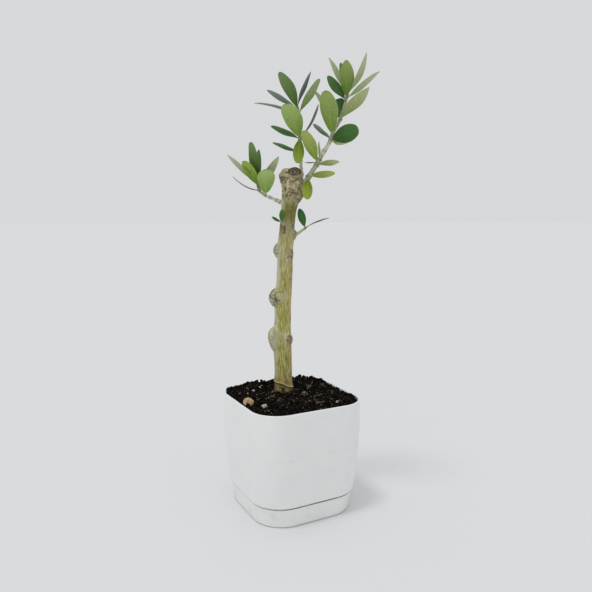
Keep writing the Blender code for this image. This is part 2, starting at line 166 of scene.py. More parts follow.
# The sawn stub on the head: the middle of its face, and which way the face looks
STUB_FACE = np.array((10.4, -5.4, 201.3)) * MM
STUB_BEARING = -90
STUB_LIFT = 43
STUB_RADIUS = 6.1 * MM
STUB_LENGTH = 7.5 * MM
STUB_STAND = 0.8 * MM  # the sawn face stands this far proud of the head around it
STUB_REACH = 8.0 * MM  # how far from the stub's axis the head is pressed under the face
STUB_COLUMNS = 72

# Limbs: the points that each grows through, in mm, its radius at both ends, and the places of
# old leaf joints on its bare stretch
Limb = namedtuple("Limb", "points thick thin joints", defaults=((),))
LEFT = Limb([(0.8, -1, 173.8), (-5.4, -2, 176.2), (-12.5, -3, 179.2), (-16.9, -4, 181.3),
             (-20.8, -5, 184.8), (-22.6, -5, 190.5)], 1.6 * MM, 1.0 * MM, (0.14, 0.24, 0.44))
CENTRE = Limb([(14.3, 2, 192.6), (16.9, 4, 198), (16.1, 5, 208), (15.4, 5, 217), (15.2, 5, 231.5),
               (14.8, 5, 249), (12.5, 4, 259)], 1.7 * MM, 1.0 * MM, (0.12, 0.30))
RIGHT = Limb([(15.2, -1, 187), (20.5, -1, 193.5), (28.9, -2, 206), (34.6, -3, 216),
              (41.9, -4, 228.2), (44.9, -5, 236.3), (50.9, -5, 247.7), (55.5, -6, 264),
              (56.3, -6, 269)], 2.4 * MM, 1.1 * MM, (0.06, 0.42))
LEFT_SPROUT = Limb([(1.8, -3, 154), (0.2, -6, 155.4), (-1.5, -8.5, 156.8)], 1.3 * MM, 0.9 * MM)
RIGHT_SPROUT = Limb([(7.5, -0.5, 142.5), (14.3, -2, 147.6), (20.1, -3, 151.7)],
                    1.5 * MM, 0.9 * MM)
LIMB_COLUMNS = 20
LIMB_RING_SPACING = 0.45 * MM
COLLAR_RISE = 0.75
COLLAR_REACH = 2.4 * MM
NODE_RISE = 0.32
NODE_REACH = 1.1 * MM

# Leaves: place along the limb, bearing and lift in degrees, length and width in mm, tone, roll
# about the leaf's own length, how far it bends down along its length, how pointed its tip is,
# and how far its edges turn down against its half width
Leaf = namedtuple("Leaf", "place bearing lift length width tone roll bend point cup",
                  defaults=(0, 15, 0.55, 0.2))
LEFT_LEAVES = [
    Leaf(0.58, -85, 40, 33, 15.5, "fresh", 0, 5, 0.5, -0.3),
    Leaf(0.80, -135, 20, 33, 8, "dusk", -22, -30), Leaf(0.83, -45, 47, 37, 10, "silver", -5, 15, 0.7),
    Leaf(0.92, -115, 40, 32, 12, "bright", 0, 15, 0.4), Leaf(0.92, 90, 70, 36, 9, "deep", -45),
    Leaf(0.97, -140, 37, 40, 10, "silver", 0, 15, 0.75),
    Leaf(0.97, -100, 55, 42, 9, "mid", -10, 15, 0.42),
]
CENTRE_LOWER_LEAVES = [
    Leaf(0.40, -155, 15, 28, 8, "deep", -40), Leaf(0.57, 60, 30, 17, 8, "dusk", -70),
    Leaf(0.60, -100, -63, 27, 10, "lime", -15, 15, 0.4, 0.25),
    Leaf(0.575, 160, 25, 31, 9, "deep", -35),
    Leaf(0.57, 50, 52, 44, 8, "slate", -24, -15),
    Leaf(0.57, -115, 42, 39.5, 17, "fresh", 10, 15, 0.42, -0.25),
]
CENTRE_TOP_LEAVES = [
    Leaf(0.87, 163, 17, 46, 9, "dusk", 9, 35, 0.9), Leaf(0.90, -55, 40, 38.5, 9.5, "olive", 5, 10, 0.4),
    Leaf(0.95, -122, 42, 40, 12, "mid", 5, 15, 0.5, -0.2), Leaf(0.96, 180, 31, 32, 8, "dusk", -45),
    Leaf(0.98, 40, 64, 37.5, 8.5, "slate", -6, 20, 0.8),
]
RIGHT_LOWER_LEAVES = [
    Leaf(0.13, -97, -50, 26, 10, "lime", -25, 15, 0.45), Leaf(0.14, -30, 5, 26, 8, "lime", -45),
    Leaf(0.27, -37, 4, 24, 7, "straw", -38), Leaf(0.29, 140, 5, 15, 6, "slate", -10),
    Leaf(0.29, -127, 50, 33.5, 11, "lime", 25, 15, 0.4, -0.3),
    Leaf(0.33, 90, 60, 19, 7, "lime", -110),
]
RIGHT_MIDDLE_LEAVES = [
    Leaf(0.54, 33, -4, 19, 9, "straw", -35), Leaf(0.54, -50, 9, 34, 15, "deep", 105, 15, 0.4),
    Leaf(0.54, 145, 40, 24, 10, "dusk", -10), Leaf(0.57, -105, 50, 44, 15.5, "sage", 0, 15, 0.45, -0.25),
    Leaf(0.59, 150, 63, 48, 9, "silver", 50, 50, 0.9),
]
RIGHT_TOP_LEAVES = [
    Leaf(0.745, 95, 62, 22.5, 13, "deep", -25, 15, 0.4), Leaf(0.735, -59, 27, 46, 12.5, "straw", -9, 15, 0.9),
    Leaf(0.92, 145, 52, 30, 10.5, "deep", -35), Leaf(0.93, 20, 39, 42, 9.5, "silver", -40, 15, 0.85),
    Leaf(0.93, -95, 41, 39.5, 12.5, "sage", -12, 15, 0.65, -0.2),
    Leaf(0.95, 110, 68, 35, 7, "deep", 0), Leaf(0.98, 145, 60, 39, 7.5, "silver", 60, 15, 0.85),
    Leaf(0.98, -66, 41, 42, 8.5, "silver", 20, -25, 0.8),
]
LEFT_SPROUT_LEAVES = [
    Leaf(0.96, -80, 65, 13, 5, "young"), Leaf(0.94, 180, 30, 10, 4, "young", -40),
]
RIGHT_SPROUT_LEAVES = [
    Leaf(0.97, 123, 63, 20, 7, "young", -35), Leaf(0.97, -33, 20, 27, 7, "slate", 18, 30),
]
# The two grey tones are darker, greyer copies of the leaf colours for leaves in shade: painted shade.
TONES = ("fresh", "bright", "mid", "sage", "silver", "straw", "dusk", "slate", "deep", "young",
         "lime", "olive")
TIP_SHEEN = (1.35, 1.25, 1.65)  # painted sheen: leaves are paler and greyer towards the tip
BASE_TINT = (0.62, 0.76, 0.35)  # and a deeper yellow green towards the stalk
LEAF_STATIONS = 45
LEAF_COLUMNS = 28
COLUMN_CROWDING = 1.8  # draws a leaf's columns towards its midrib
PETIOLE_SHARE = 0.08
PETIOLE_RADIUS = 0.5 * MM
BLADE_HALF_THICKNESS = 0.2 * MM
MIDRIB_WIDTH = 0.45 * MM
MIDRIB_RISE = 0.3 * MM
MIDRIB_GROOVE = 0.15 * MM
VEIN_SPACING = 3.4 * MM

# Boughs and masses of leaves: node, limb, and the stretch of the limb that each takes
BOUGHS = [
    ("left_bough", LEFT, 0.0, 0.55),
    ("centre_bough", CENTRE, 0.0, 0.36),
    ("right_bough", RIGHT, 0.0, 0.10),
    ("right_upper_bough", RIGHT, 0.38, 0.50),
]
SPRAYS = [
    ("left_spray", LEFT, 0.55, 1.0, LEFT_LEAVES),
    ("centre_lower_spray", CENTRE, 0.36, 0.82, CENTRE_LOWER_LEAVES),
    ("centre_top_spray", CENTRE, 0.82, 1.0, CENTRE_TOP_LEAVES),
    ("right_lower_spray", RIGHT, 0.10, 0.38, RIGHT_LOWER_LEAVES),
    ("right_middle_spray", RIGHT, 0.50, 0.68, RIGHT_MIDDLE_LEAVES),
    ("right_top_spray", RIGHT, 0.68, 1.0, RIGHT_TOP_LEAVES),
    ("left_sprout", LEFT_SPROUT, 0.0, 1.0, LEFT_SPROUT_LEAVES),
    ("right_sprout", RIGHT_SPROUT, 0.0, 1.0, RIGHT_SPROUT_LEAVES),
]

# Camera, at the photograph's view
CAMERA_PLACE = (-0.2425, -0.4679, 0.261)
CAMERA_PITCH = math.radians(90 - 7.47)
CAMERA_YAW = math.radians(-0.52 - 27.4)
CAMERA_LENS = 36.12
CAMERA_SENSOR = 36.0


def colour_property(name, description, default):
    return FloatVectorProperty(
        name=name, description=description, default=default, subtype="COLOR", min=0.0, max=1.0)


class PotSettings(bpy.types.PropertyGroup):
    plastic: colour_property("Plastic", "Colour of the pot and the tray", (0.862, 0.878, 0.862))
    # Colour of the dirt and painted shade in the joint between pot and tray.
    joint_grime_and_shade: colour_property("Grime", "Colour of the dirt in the joint", (0.055, 0.042, 0.028))
    roughness: FloatProperty(
        name="Roughness", description="How dull the plastic is", default=0.2, min=0.0, max=1.0)


class SoilSettings(bpy.types.PropertyGroup):
    peat: colour_property("Peat", "Colour of the potting mix", (0.0048, 0.0041, 0.0036))
    brown_bits: colour_property("Brown bits", "Colour of the bark bits", (0.06, 0.045, 0.029))
    clods: IntProperty(
        name="Clods", description="How many loose clods lie on the soil", default=3000, min=0)
    fibres: IntProperty(
        name="Fibres", description="How many thin roots lie on the soil", default=50, min=0)


class TrunkSettings(bpy.types.PropertyGroup):
    bark: colour_property("Bark", "Main colour of the bark", (0.515, 0.465, 0.165))
    # Pale grey film; on the trunk's left side it is also painted light.
    film: colour_property("Film", "Pale grey film on the bark", (0.58, 0.57, 0.41))
    green: colour_property("Green", "Green bark low on the trunk", (0.36, 0.365, 0.065))
    brown: colour_property("Brown", "Scars and the foot", (0.285, 0.185, 0.065))
    # Painted shade on the bark under the head.
    under_head_shade: colour_property("Umber", "Darker bark under the head", (0.235, 0.21, 0.06))
    head: colour_property("Head", "Rough bark of the head", (0.58, 0.52, 0.32))
    heartwood: colour_property("Heartwood", "The sawn face", (0.175, 0.143, 0.085))
    twig: colour_property("Twig", "Bark of the boughs", (0.70, 0.675, 0.55))
    relief: FloatProperty(
        name="Relief", description="Depth of the bark's relief", default=1.0, min=0.0, max=3.0)


class FoliageSettings(bpy.types.PropertyGroup):
    fresh_upper: colour_property("Fresh, upper", "Upper face", (0.16, 0.28, 0.05))
    fresh_under: colour_property("Fresh, under", "Lower face", (0.315, 0.455, 0.115))
    bright_upper: colour_property("Bright, upper", "Upper face", (0.10, 0.24, 0.03))
    bright_under: colour_property("Bright, under", "Lower face", (0.27, 0.41, 0.055))
    mid_upper: colour_property("Mid, upper", "Upper face", (0.08, 0.18, 0.04))
    mid_under: colour_property("Mid, under", "Lower face", (0.14, 0.235, 0.065))
    sage_upper: colour_property("Sage, upper", "Upper face", (0.10, 0.20, 0.05))
    sage_under: colour_property("Sage, under", "Lower face", (0.25, 0.355, 0.085))
    silver_upper: colour_property("Silver, upper", "Upper face", (0.12, 0.20, 0.06))
    silver_under: colour_property("Silver, under", "Lower face", (0.385, 0.455, 0.23))
    straw_upper: colour_property("Straw, upper", "Upper face", (0.14, 0.22, 0.06))
    straw_under: colour_property("Straw, under", "Lower face", (0.375, 0.43, 0.175))
    # Painted shade: a grey copy of the leaf colours for leaves in shade.
    dusk_upper: colour_property("Dusk, upper", "Upper face", (0.13, 0.17, 0.11))
    dusk_under: colour_property("Dusk, under", "Lower face", (0.20, 0.24, 0.15))
    # Painted shade: a dark grey copy of the leaf colours for leaves in shade.
    slate_upper: colour_property("Slate, upper", "Upper face", (0.065, 0.085, 0.07))
    slate_under: colour_property("Slate, under", "Lower face", (0.09, 0.11, 0.09))
    deep_upper: colour_property("Deep, upper", "Upper face", (0.048, 0.135, 0.026))
    deep_under: colour_property("Deep, under", "Lower face", (0.12, 0.19, 0.08))
    young_upper: colour_property("Young, upper", "Upper face", (0.05, 0.145, 0.035))
    young_under: colour_property("Young, under", "Lower face", (0.065, 0.165, 0.02))
    lime_upper: colour_property("Lime, upper", "Upper face", (0.22, 0.305, 0.03))
    lime_under: colour_property("Lime, under", "Lower face", (0.31, 0.41, 0.085))
    olive_upper: colour_property("Olive, upper", "Upper face", (0.13, 0.19, 0.04))
    olive_under: colour_property("Olive, under", "Lower face", (0.33, 0.43, 0.16))
    twig: colour_property("Young twig", "Bark of the leafy shoots", (0.48, 0.49, 0.32))


class StageSettings(bpy.types.PropertyGroup):
    floor: colour_property("Floor", "Colour of the floor", (0.802, 0.808, 0.814))
    room: colour_property("Room", "Colour of the soft light all round", (0.682, 0.689, 0.70))
    sun: FloatProperty(
        name="Sun", description="Strength of the soft lamp overhead", default=0.62, min=0.0)


def eased(share):
    """A step from 0 to 1 that is level at both ends: three squares less two cubes."""
    share = np.clip(share, 0, 1)
    return share * share * (3 - 2 * share)


def noise(points, size, seed):
    """Smooth noise from -1 to 1: seeded random values at the corners of boxes of this size, one
    number or three, eased between the corners."""
    table = np.random.default_rng(seed).uniform(-1, 1, 4096)
    primes = np.array((73856093, 19349663, 83492791))
    place = np.asarray(points) / size
    cell = np.floor(place).astype(np.int64)
    part = eased(place - cell)
    total = np.zeros(place.shape[:-1])
    for corner in itertools.product((0, 1), repeat=3):
        key = np.bitwise_xor.reduce((cell + corner) * primes, axis=-1) % len(table)
        total += table[key] * np.where(corner, part, 1 - part).prod(axis=-1)
    return total


def smooth_through(points, places):
    """Points on one smooth curve through the given ones, at these places from 0 to 1 along it."""
    points = np.asarray(points, float)
    padded = np.vstack([2 * points[0] - points[1], points, 2 * points[-1] - points[-2]])
    steps = np.linspace(0, len(points) - 1, 40 * (len(points) - 1) + 1)
    span = np.minimum(steps.astype(int), len(points) - 2)
    t = (steps - span)[:, None]
    before, here, after, beyond = (padded[span + k] for k in range(4))
    curve = 0.5 * (2 * here + (after - before) * t
                   + (2 * before - 5 * here + 4 * after - beyond) * t ** 2
                   + (3 * here - before - 3 * after + beyond) * t ** 3)
    run = np.concatenate([[0], np.cumsum(np.linalg.norm(np.diff(curve, axis=0), axis=1))])
    wanted = np.asarray(places) * run[-1]
    return np.column_stack([np.interp(wanted, run, column) for column in curve.T])


def direction(bearing, lift):
    bearing, lift = math.radians(bearing), math.radians(lift)
    return np.array([math.cos(bearing) * math.cos(lift), math.sin(bearing) * math.cos(lift),
                     math.sin(lift)])


def tree_to_frame(points):
    """Turns points by the tree's turn about the upright axis, then moves them to its foot."""
    c, s = math.cos(TREE_TURN), math.sin(TREE_TURN)
    turn = np.array([(c, -s, 0), (s, c, 0), (0, 0, 1)])
    return points @ turn.T + TREE_FOOT


# Patches and pieces

Patch = namedtuple("Patch", "points faces slot values")


def grid_patch(points, slot=0, **values):
    """A patch from rows of points, each row a closed ring: quads between neighbours."""
    rows, columns = points.shape[:2]
    index = np.arange(rows * columns).reshape(rows, columns)
    index = np.column_stack([index, index[:, 0]])
    faces = np.stack([index[:-1, :-1], index[:-1, 1:], index[1:, 1:], index[1:, :-1]], axis=-1)
    spread = {name: np.broadcast_to(value, (rows, columns)).ravel()
              for name, value in values.items()}
    return Patch(points.reshape(-1, 3), faces.reshape(-1, 4), slot, spread)


def closed_ends(rings):
    """The rings with a point, as a ring of no size, in the middle of the first and of the last."""
    first = np.broadcast_to(rings[:1].mean(axis=1, keepdims=True), rings[:1].shape)
    last = np.broadcast_to(rings[-1:].mean(axis=1, keepdims=True), rings[-1:].shape)
    return np.concatenate([first, rings, last])


def make_piece(name, patches, materials, nodes=(), sharp=50):
    """One object from patches. A patch's slot is one number, or one for each face."""
    starts = np.cumsum([0] + [len(patch.points) for patch in patches[:-1]])
    points = np.concatenate([patch.points for patch in patches])
    faces = np.concatenate([patch.faces + start for patch, start in zip(patches, starts)])
    slots = np.concatenate([np.broadcast_to(patch.slot, len(patch.faces)) for patch in patches])
    mesh = bpy.data.meshes.new(name)
    mesh.from_pydata(points.tolist(), [], faces.tolist())
    mesh.polygons.foreach_set("material_index", slots.astype(np.int32))
    for value in patches[0].values:
        layer = mesh.attributes.new(value, "FLOAT", "POINT")
        layer.data.foreach_set("value", np.concatenate([p.values[value] for p in patches]))
    edit = bmesh.new()
    edit.from_mesh(mesh)
    bmesh.ops.remove_doubles(edit, verts=edit.verts, dist=1e-6)
    bmesh.ops.recalc_face_normals(edit, faces=edit.faces)
    edit.to_mesh(mesh)
    edit.free()
    for material in materials:
        mesh.materials.append(material)
    mesh.shade_smooth()
    mesh.set_sharp_from_angle(angle=math.radians(sharp))
    obj = bpy.data.objects.new(name, mesh)
    bpy.context.scene.collection.objects.link(obj)
    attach(obj, BODY)
    if nodes:
        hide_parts(*nodes)
    return obj


# Materials


class Nodes:
    """A new material's node tree, with short calls for the nodes that the finishes use."""

    def __init__(self, name, colour, roughness):
        self.material = bpy.data.materials.new(name)
        self.material.use_nodes = True
        self.material.diffuse_color = (*colour, 1.0)
        self.tree = self.material.node_tree
        self.shader = self.tree.nodes["Principled BSDF"]
        self.shader.inputs["Base Color"].default_value = (*colour, 1.0)
        self.shader.inputs["Roughness"].default_value = roughness
        self.place = self.tree.nodes.new("ShaderNodeTexCoord").outputs["Object"]

    def put(self, socket, value):
        if isinstance(value, bpy.types.NodeSocket):
            self.tree.links.new(value, socket)
        elif socket.type == "RGBA":
            socket.default_value = (*value, 1.0)
        else:
            socket.default_value = value

    def noise(self, size, detail=3.0, stretch=(1, 1, 1), rough=0.5):
        """Noise from 0 to 1 whose lumps have this size, longer along an axis by its stretch."""
        mapping = self.tree.nodes.new("ShaderNodeMapping")
        mapping.inputs["Scale"].default_value = [1 / (size * k) for k in stretch]
        self.put(mapping.inputs["Vector"], self.place)
        texture = self.tree.nodes.new("ShaderNodeTexNoise")
        texture.inputs["Scale"].default_value = 1.0
        texture.inputs["Detail"].default_value = detail
        texture.inputs["Roughness"].default_value = rough
        self.put(texture.inputs["Vector"], mapping.outputs["Vector"])
        return texture.outputs["Fac"]

    def value(self, name):
        attribute = self.tree.nodes.new("ShaderNodeAttribute")
        attribute.attribute_name = name
        return attribute.outputs["Fac"]

    def axis(self, letter):
        split = self.tree.nodes.new("ShaderNodeSeparateXYZ")
        self.put(split.inputs[0], self.place)
        return split.outputs[letter]

    def math(self, operation, first, second=0.0):
        node = self.tree.nodes.new("ShaderNodeMath")
        node.operation = operation
        self.put(node.inputs[0], first)
        self.put(node.inputs[1], second)
        return node.outputs[0]

    def step(self, value, low, high, start=0.0, end=1.0):
        """An eased step from start to end as the value goes from low to high."""
        node = self.tree.nodes.new("ShaderNodeMapRange")
        node.interpolation_type = "SMOOTHSTEP"
        for name, number in (("From Min", low), ("From Max", high),
                             ("To Min", start), ("To Max", end)):
            node.inputs[name].default_value = number
        self.put(node.inputs["Value"], value)
        return node.outputs["Result"]

    def mix(self, share, first, second):
        node = self.tree.nodes.new("ShaderNodeMix")
        node.data_type = "RGBA"
        self.put(node.inputs["Factor"], share)
        self.put(node.inputs["A"] if node.inputs["A"].type == "RGBA" else node.inputs[6], first)
        self.put(node.inputs["B"] if node.inputs["B"].type == "RGBA" else node.inputs[7], second)
        return node.outputs["Result"] if node.outputs["Result"].type == "RGBA" else node.outputs[2]

    def bump(self, height, distance, strength=1.0):
        node = self.tree.nodes.new("ShaderNodeBump")
        node.inputs["Distance"].default_value = distance
        node.inputs["Strength"].default_value = strength
        self.put(node.inputs["Height"], height)
        self.put(self.shader.inputs["Normal"], node.outputs["Normal"])

    def finish(self, colour=None, roughness=None):
        if colour is not None:
            self.put(self.shader.inputs["Base Color"], colour)
        if roughness is not None:
            self.put(self.shader.inputs["Roughness"], roughness)
        return self.material


def scaled(colour, factor):
    """A colour times one number, or times a number for each channel."""
    return tuple(np.minimum(1.0, np.array(colour) * factor).tolist())


def plastic_material(settings):
    """White moulded plastic: faint clouds, one scuffed line low on the body, dirt and painted shade in
    the joint, painted contact shade under the tray's edge, and warm stains on the tray."""
    plastic = Nodes("white_plastic", settings.plastic, settings.roughness)
    height, x, y = (plastic.axis(letter) for letter in "ZXY")
    clouds = plastic.step(plastic.noise(14 * MM, 2.0), 0.35, 0.7)
    wobble = plastic.math("MULTIPLY", plastic.noise(22 * MM, 2.0), SCUFF_WOBBLE)
    off_scuff = plastic.math("ABSOLUTE", plastic.math(
        "ADD", plastic.math("SUBTRACT", height, SCUFF_HEIGHT), wobble))
    broken = plastic.step(plastic.noise(6 * MM, 3.0), 0.42, 0.62)
    scuff = plastic.math("MULTIPLY", plastic.step(off_scuff, 0.15 * MM, 0.8 * MM, 0.13, 0.0), broken)
    # Dirt and painted shade in the joint between pot and tray, heavier towards the shaded right.
    off_joint = plastic.math("ABSOLUTE", plastic.math("SUBTRACT", height, SEAM_HEIGHT - 0.2 * MM))
    joint = plastic.step(off_joint, 0.6 * MM, 1.1 * MM, 1.0, 0.0)
    towards_right = plastic.math("SUBTRACT", plastic.math("MULTIPLY", x, 0.88),
                                 plastic.math("MULTIPLY", y, 0.47))
    joint = plastic.math("MULTIPLY", joint, plastic.step(towards_right, -45 * MM, 30 * MM, 0.5, 1.0))
    patchy = plastic.step(plastic.noise(9 * MM, 3.0, (1, 1, 0.4)), 0.3, 0.6, 0.75, 1.0)
    # Painted contact shade: a dark band along the tray's bottom edge, where it meets the floor.
    contact_shade_under_tray = plastic.step(height, 0.2 * MM, 1.2 * MM, 0.55, 0.0)
    low = plastic.step(height, SEAM_HEIGHT - 2 * MM, SEAM_HEIGHT, 1.0, 0.0)
    stains = plastic.math("MULTIPLY", low, plastic.step(plastic.noise(11 * MM, 4.0), 0.50, 0.72, 0.0, 0.3))
    colour = plastic.mix(clouds, tuple(settings.plastic), scaled(settings.plastic, 0.98))
    colour = plastic.mix(scuff, colour, (0.42, 0.41, 0.38))
    colour = plastic.mix(stains, colour, (0.66, 0.64, 0.54))
    colour = plastic.mix(contact_shade_under_tray, colour, (0.16, 0.155, 0.14))
    colour = plastic.mix(plastic.math("MULTIPLY", joint, patchy), colour, tuple(settings.joint_grime_and_shade))
    plastic.bump(plastic.noise(3.2 * MM, 2.0), 0.03 * MM)
    return plastic.finish(colour)


def soil_material(settings, name="peat"):
    """Near black peat with brown bits, dull and fine grained."""
    peat = Nodes(name, settings.peat, 0.92)
    bits = peat.step(peat.noise(1.6 * MM, 4.0, rough=0.65), 0.50, 0.72)
    pale = peat.step(peat.noise(0.9 * MM, 3.0), 0.69, 0.75)
    colour = peat.mix(bits, tuple(settings.peat), tuple(settings.brown_bits))
    colour = peat.mix(peat.math("MULTIPLY", pale, 0.5), colour, (0.15, 0.13, 0.10))
    peat.bump(peat.noise(0.7 * MM, 5.0, rough=0.7), 0.5 * MM)
    peat.shader.inputs["Specular IOR Level"].default_value = 0.05
    return peat.finish(colour)


def stone_material(name, colour, dark, size):
    """A light grain of two colours, rough and softly pitted."""
    stone = Nodes(name, colour, 0.85)
    patches = stone.step(stone.noise(size, 4.0, rough=0.6), 0.42, 0.66)
    stone.bump(stone.noise(size * 0.5, 4.0), 0.25 * MM)
    return stone.finish(stone.mix(patches, colour, dark))


def bark_material(settings):
    """Olive bark: coarse and fine streaks over a mottled ground, with the film (partly painted light
    on the lit left side), the green, the painted shade under the head, the brown, the rough head
    and the painted shade in pits and cracks laid on where the mesh's own values say."""
    bark = Nodes("olive_bark", settings.bark, 0.8)
    fine = bark.noise(1.15 * MM, 4.0, (1, 1, 6), 0.6)
    coarse = bark.noise(2.4 * MM, 4.0, (1, 1, 5), 0.65)
    mottle = bark.noise(4.5 * MM, 4.0, (1, 1, 2.2), 0.6)
    specks = bark.noise(1.3 * MM, 5.0, (1, 1, 1.4), 0.7)

    def layer(colour, name, ground, low, high, over, least=0.0):
        """Lays a colour where the mesh's value says, broken up by a noise."""
        share = bark.math("MULTIPLY", bark.value(name), bark.step(ground, low, high, 1.0, least))
        return bark.mix(share, colour, over)

    colour = bark.mix(bark.step(mottle, 0.35, 0.68), tuple(settings.bark), scaled(settings.bark, 0.82))
    colour = layer(colour, "green", coarse, 0.42, 0.66, tuple(settings.green), 0.15)
    colour = bark.mix(bark.step(coarse, 0.50, 0.60, 0.0, 0.7), colour,
                      scaled(settings.bark, (0.56, 0.52, 0.42)))
    colour = bark.mix(bark.step(fine, 0.36, 0.47, 0.9, 0.0), colour,
                      scaled(settings.film, (1.15, 1.1, 0.85)))
    colour = bark.mix(bark.step(fine, 0.53, 0.62, 0.0, 0.75), colour,
                      scaled(settings.bark, (0.42, 0.38, 0.28)))
    # Painted shade under the head.
    colour = layer(colour, "under_head_shade", mottle, 0.45, 0.75, tuple(settings.under_head_shade), 0.6)
    rough_bark = bark.mix(bark.step(bark.noise(1.7 * MM, 5.0, rough=0.7), 0.42, 0.62),
                          tuple(settings.head), scaled(settings.head, (0.52, 0.48, 0.40)))
    colour = bark.mix(bark.value("rough"), colour, rough_bark)
    # Film on the bark; on the left side and round the knobs it is also painted light.
    colour = layer(colour, "film", coarse, 0.42, 0.62, tuple(settings.film), 0.45)
    colour = layer(colour, "brown", specks, 0.50, 0.68, tuple(settings.brown), 0.35)
    colour = bark.mix(bark.value("pale"), colour, scaled(settings.film, (1.2, 1.12, 0.95)))
    # Painted shade: near black brown in the pits, the cracks and the recess under the foot ridge.
    colour = bark.mix(bark.value("dark"), colour, scaled(settings.brown, (0.16, 0.2, 0.35)))
    grain = bark.math("ADD", coarse, bark.math("ADD", bark.math("MULTIPLY", fine, 0.7),
                                               bark.math("MULTIPLY", specks, 0.8)))
    bark.bump(grain, 0.45 * MM)
    bark.shader.inputs["Specular IOR Level"].default_value = 0.25
    return bark.finish(colour)


def heartwood_material(settings):
    """The sawn face: rings by the mesh's own distance from the pith, darker towards the rim."""
    wood = Nodes("heartwood", settings.heartwood, 0.85)
    wander = wood.math("MULTIPLY", wood.noise(3.4 * MM, 4.0), 11.0)
    ring = wood.math("SINE", wood.math("ADD", wood.math("MULTIPLY", wood.value("rim"), 13.0), wander))
    colour = wood.mix(wood.step(ring, -0.2, 0.8), scaled(settings.heartwood, 0.5),
                      scaled(settings.heartwood, 1.45))
    colour = wood.mix(wood.step(wood.noise(1.8 * MM, 4.0), 0.50, 0.62), colour,
                      scaled(settings.heartwood, 0.3))
    colour = wood.mix(wood.step(wood.value("rim"), 0.74, 0.9), colour,
                      scaled(settings.heartwood, 0.16))
    wood.bump(wood.noise(0.5 * MM, 4.0), 0.25 * MM)
    return wood.finish(colour)


def twig_material(name, colour):
    """Smooth young bark with fine darker streaks and darker rings at the leaf joints."""
    twig = Nodes(name, colour, 0.7)
    streaks = twig.noise(0.7 * MM, 3.0, (1, 1, 4))
    ground = twig.mix(twig.step(streaks, 0.42, 0.68), tuple(colour), scaled(colour, 0.62))
    dark_joint = twig.math("MULTIPLY", twig.value("joint"), twig.step(twig.noise(0.9 * MM, 3.0), 0.3, 0.6))
    ground = twig.mix(twig.math("MULTIPLY", dark_joint, 0.75), ground, scaled(colour, (0.30, 0.27, 0.22)))
    twig.bump(twig.noise(0.6 * MM, 3.0), 0.15 * MM)
    return twig.finish(ground)


def leaf_material(name, colour, roughness, rib_gain):
    """A leathery leaf face of one base colour, deeper at the stalk and paler at the tip with a painted
    sheen, with a paler midrib and faint slanting side veins by the mesh's own distances on the blade."""
    leaf = Nodes(name, colour, roughness)
    across = leaf.math("ABSOLUTE", leaf.value("across"))
    rib = leaf.step(across, 0.12 * MM, 0.5 * MM, 1.0, 0.0)
    slant = leaf.math("SUBTRACT", leaf.value("along"), leaf.math("MULTIPLY", across, 1.25))
    wave = leaf.math("PINGPONG", slant, VEIN_SPACING / 2)
    vein = leaf.step(wave, 0.0, 0.35 * MM, 1.0, 0.0)
    share = leaf.value("share")
    mottle = leaf.step(leaf.noise(2.6 * MM, 4.0, rough=0.6), 0.3, 0.7)
    ground = leaf.mix(mottle, scaled(colour, 1.10), scaled(colour, 0.87))
    # Painted sheen: paler and greyer towards the tip.
    ground = leaf.mix(leaf.step(share, 0.40, 1.0, 0.0, 0.9), ground, scaled(colour, TIP_SHEEN))
    ground = leaf.mix(leaf.step(share, 0.05, 0.60, 0.9, 0.0), ground, scaled(colour, BASE_TINT))
    ground = leaf.mix(leaf.math("MULTIPLY", vein, 0.2), ground, scaled(colour, rib_gain))
    ground = leaf.mix(leaf.math("MULTIPLY", rib, 0.6), ground, scaled(colour, rib_gain))
    ground = leaf.mix(leaf.step(share, 0.94, 1.0, 0.0, 0.7), ground, (0.22, 0.18, 0.11))
    leaf.shader.inputs["Specular IOR Level"].default_value = 0.25
    leaf.bump(leaf.math("ADD", leaf.noise(0.8 * MM, 2.0), leaf.math("MULTIPLY", vein, -0.5)), 0.06 * MM)
    return leaf.finish(ground)


# Pot and tray


def square_columns(arc_steps, flat_steps):
    """For each column round a square with round corners: the way out from its corner's middle,
    and where that middle lies, in corners of a unit square. Straight runs lie between arcs."""
    arc = np.radians(np.linspace(0, 90, arc_steps + 1))
    flat = np.linspace(0, 1, flat_steps + 2)[1:-1, None]
    ways, middles = [], []
    for quarter in range(4):
        angles = arc + math.pi / 2 * quarter
        way = np.column_stack([np.cos(angles), np.sin(angles)])
        here = np.round(math.sqrt(2) * np.array([math.cos(math.pi / 4 + math.pi / 2 * quarter),
                                                 math.sin(math.pi / 4 + math.pi / 2 * quarter)]))
        beyond = np.array([-here[1], here[0]])
        ways += [way, np.repeat(way[-1:], flat_steps, axis=0)]
        middles += [np.repeat(here[None], arc_steps + 1, axis=0), here + (beyond - here) * flat]
    return np.concatenate(ways), np.concatenate(middles)


def square_rings(heights, sides, corners, arc_steps=20, flat_steps=14):
    """Rings round a square with round corners, one for each height, side and corner radius."""
    ways, middles = square_columns(arc_steps, flat_steps)
    heights, sides, corners = (np.asarray(row, float)[:, None, None]
                               for row in (heights, sides, corners))
    flat = middles * (sides / 2 - corners) + ways * corners
    return np.concatenate([flat, np.broadcast_to(heights, (*flat.shape[:2], 1))], axis=-1)


def body_size(height, inset=0.0):
    """Side and corner radius of the pot's outer section: straight from seam to rim, with a half
    wave's bulge between, less the inset."""
    t = (height - SEAM_HEIGHT) / (POT_TOP - SEAM_HEIGHT)
    side = SEAM_SIDE + (RIM_SIDE - SEAM_SIDE) * t + 2 * BODY_BULGE * np.sin(math.pi * t)
    corner = SEAM_CORNER + (RIM_CORNER - SEAM_CORNER) * t
    return side - 2 * inset, corner - inset


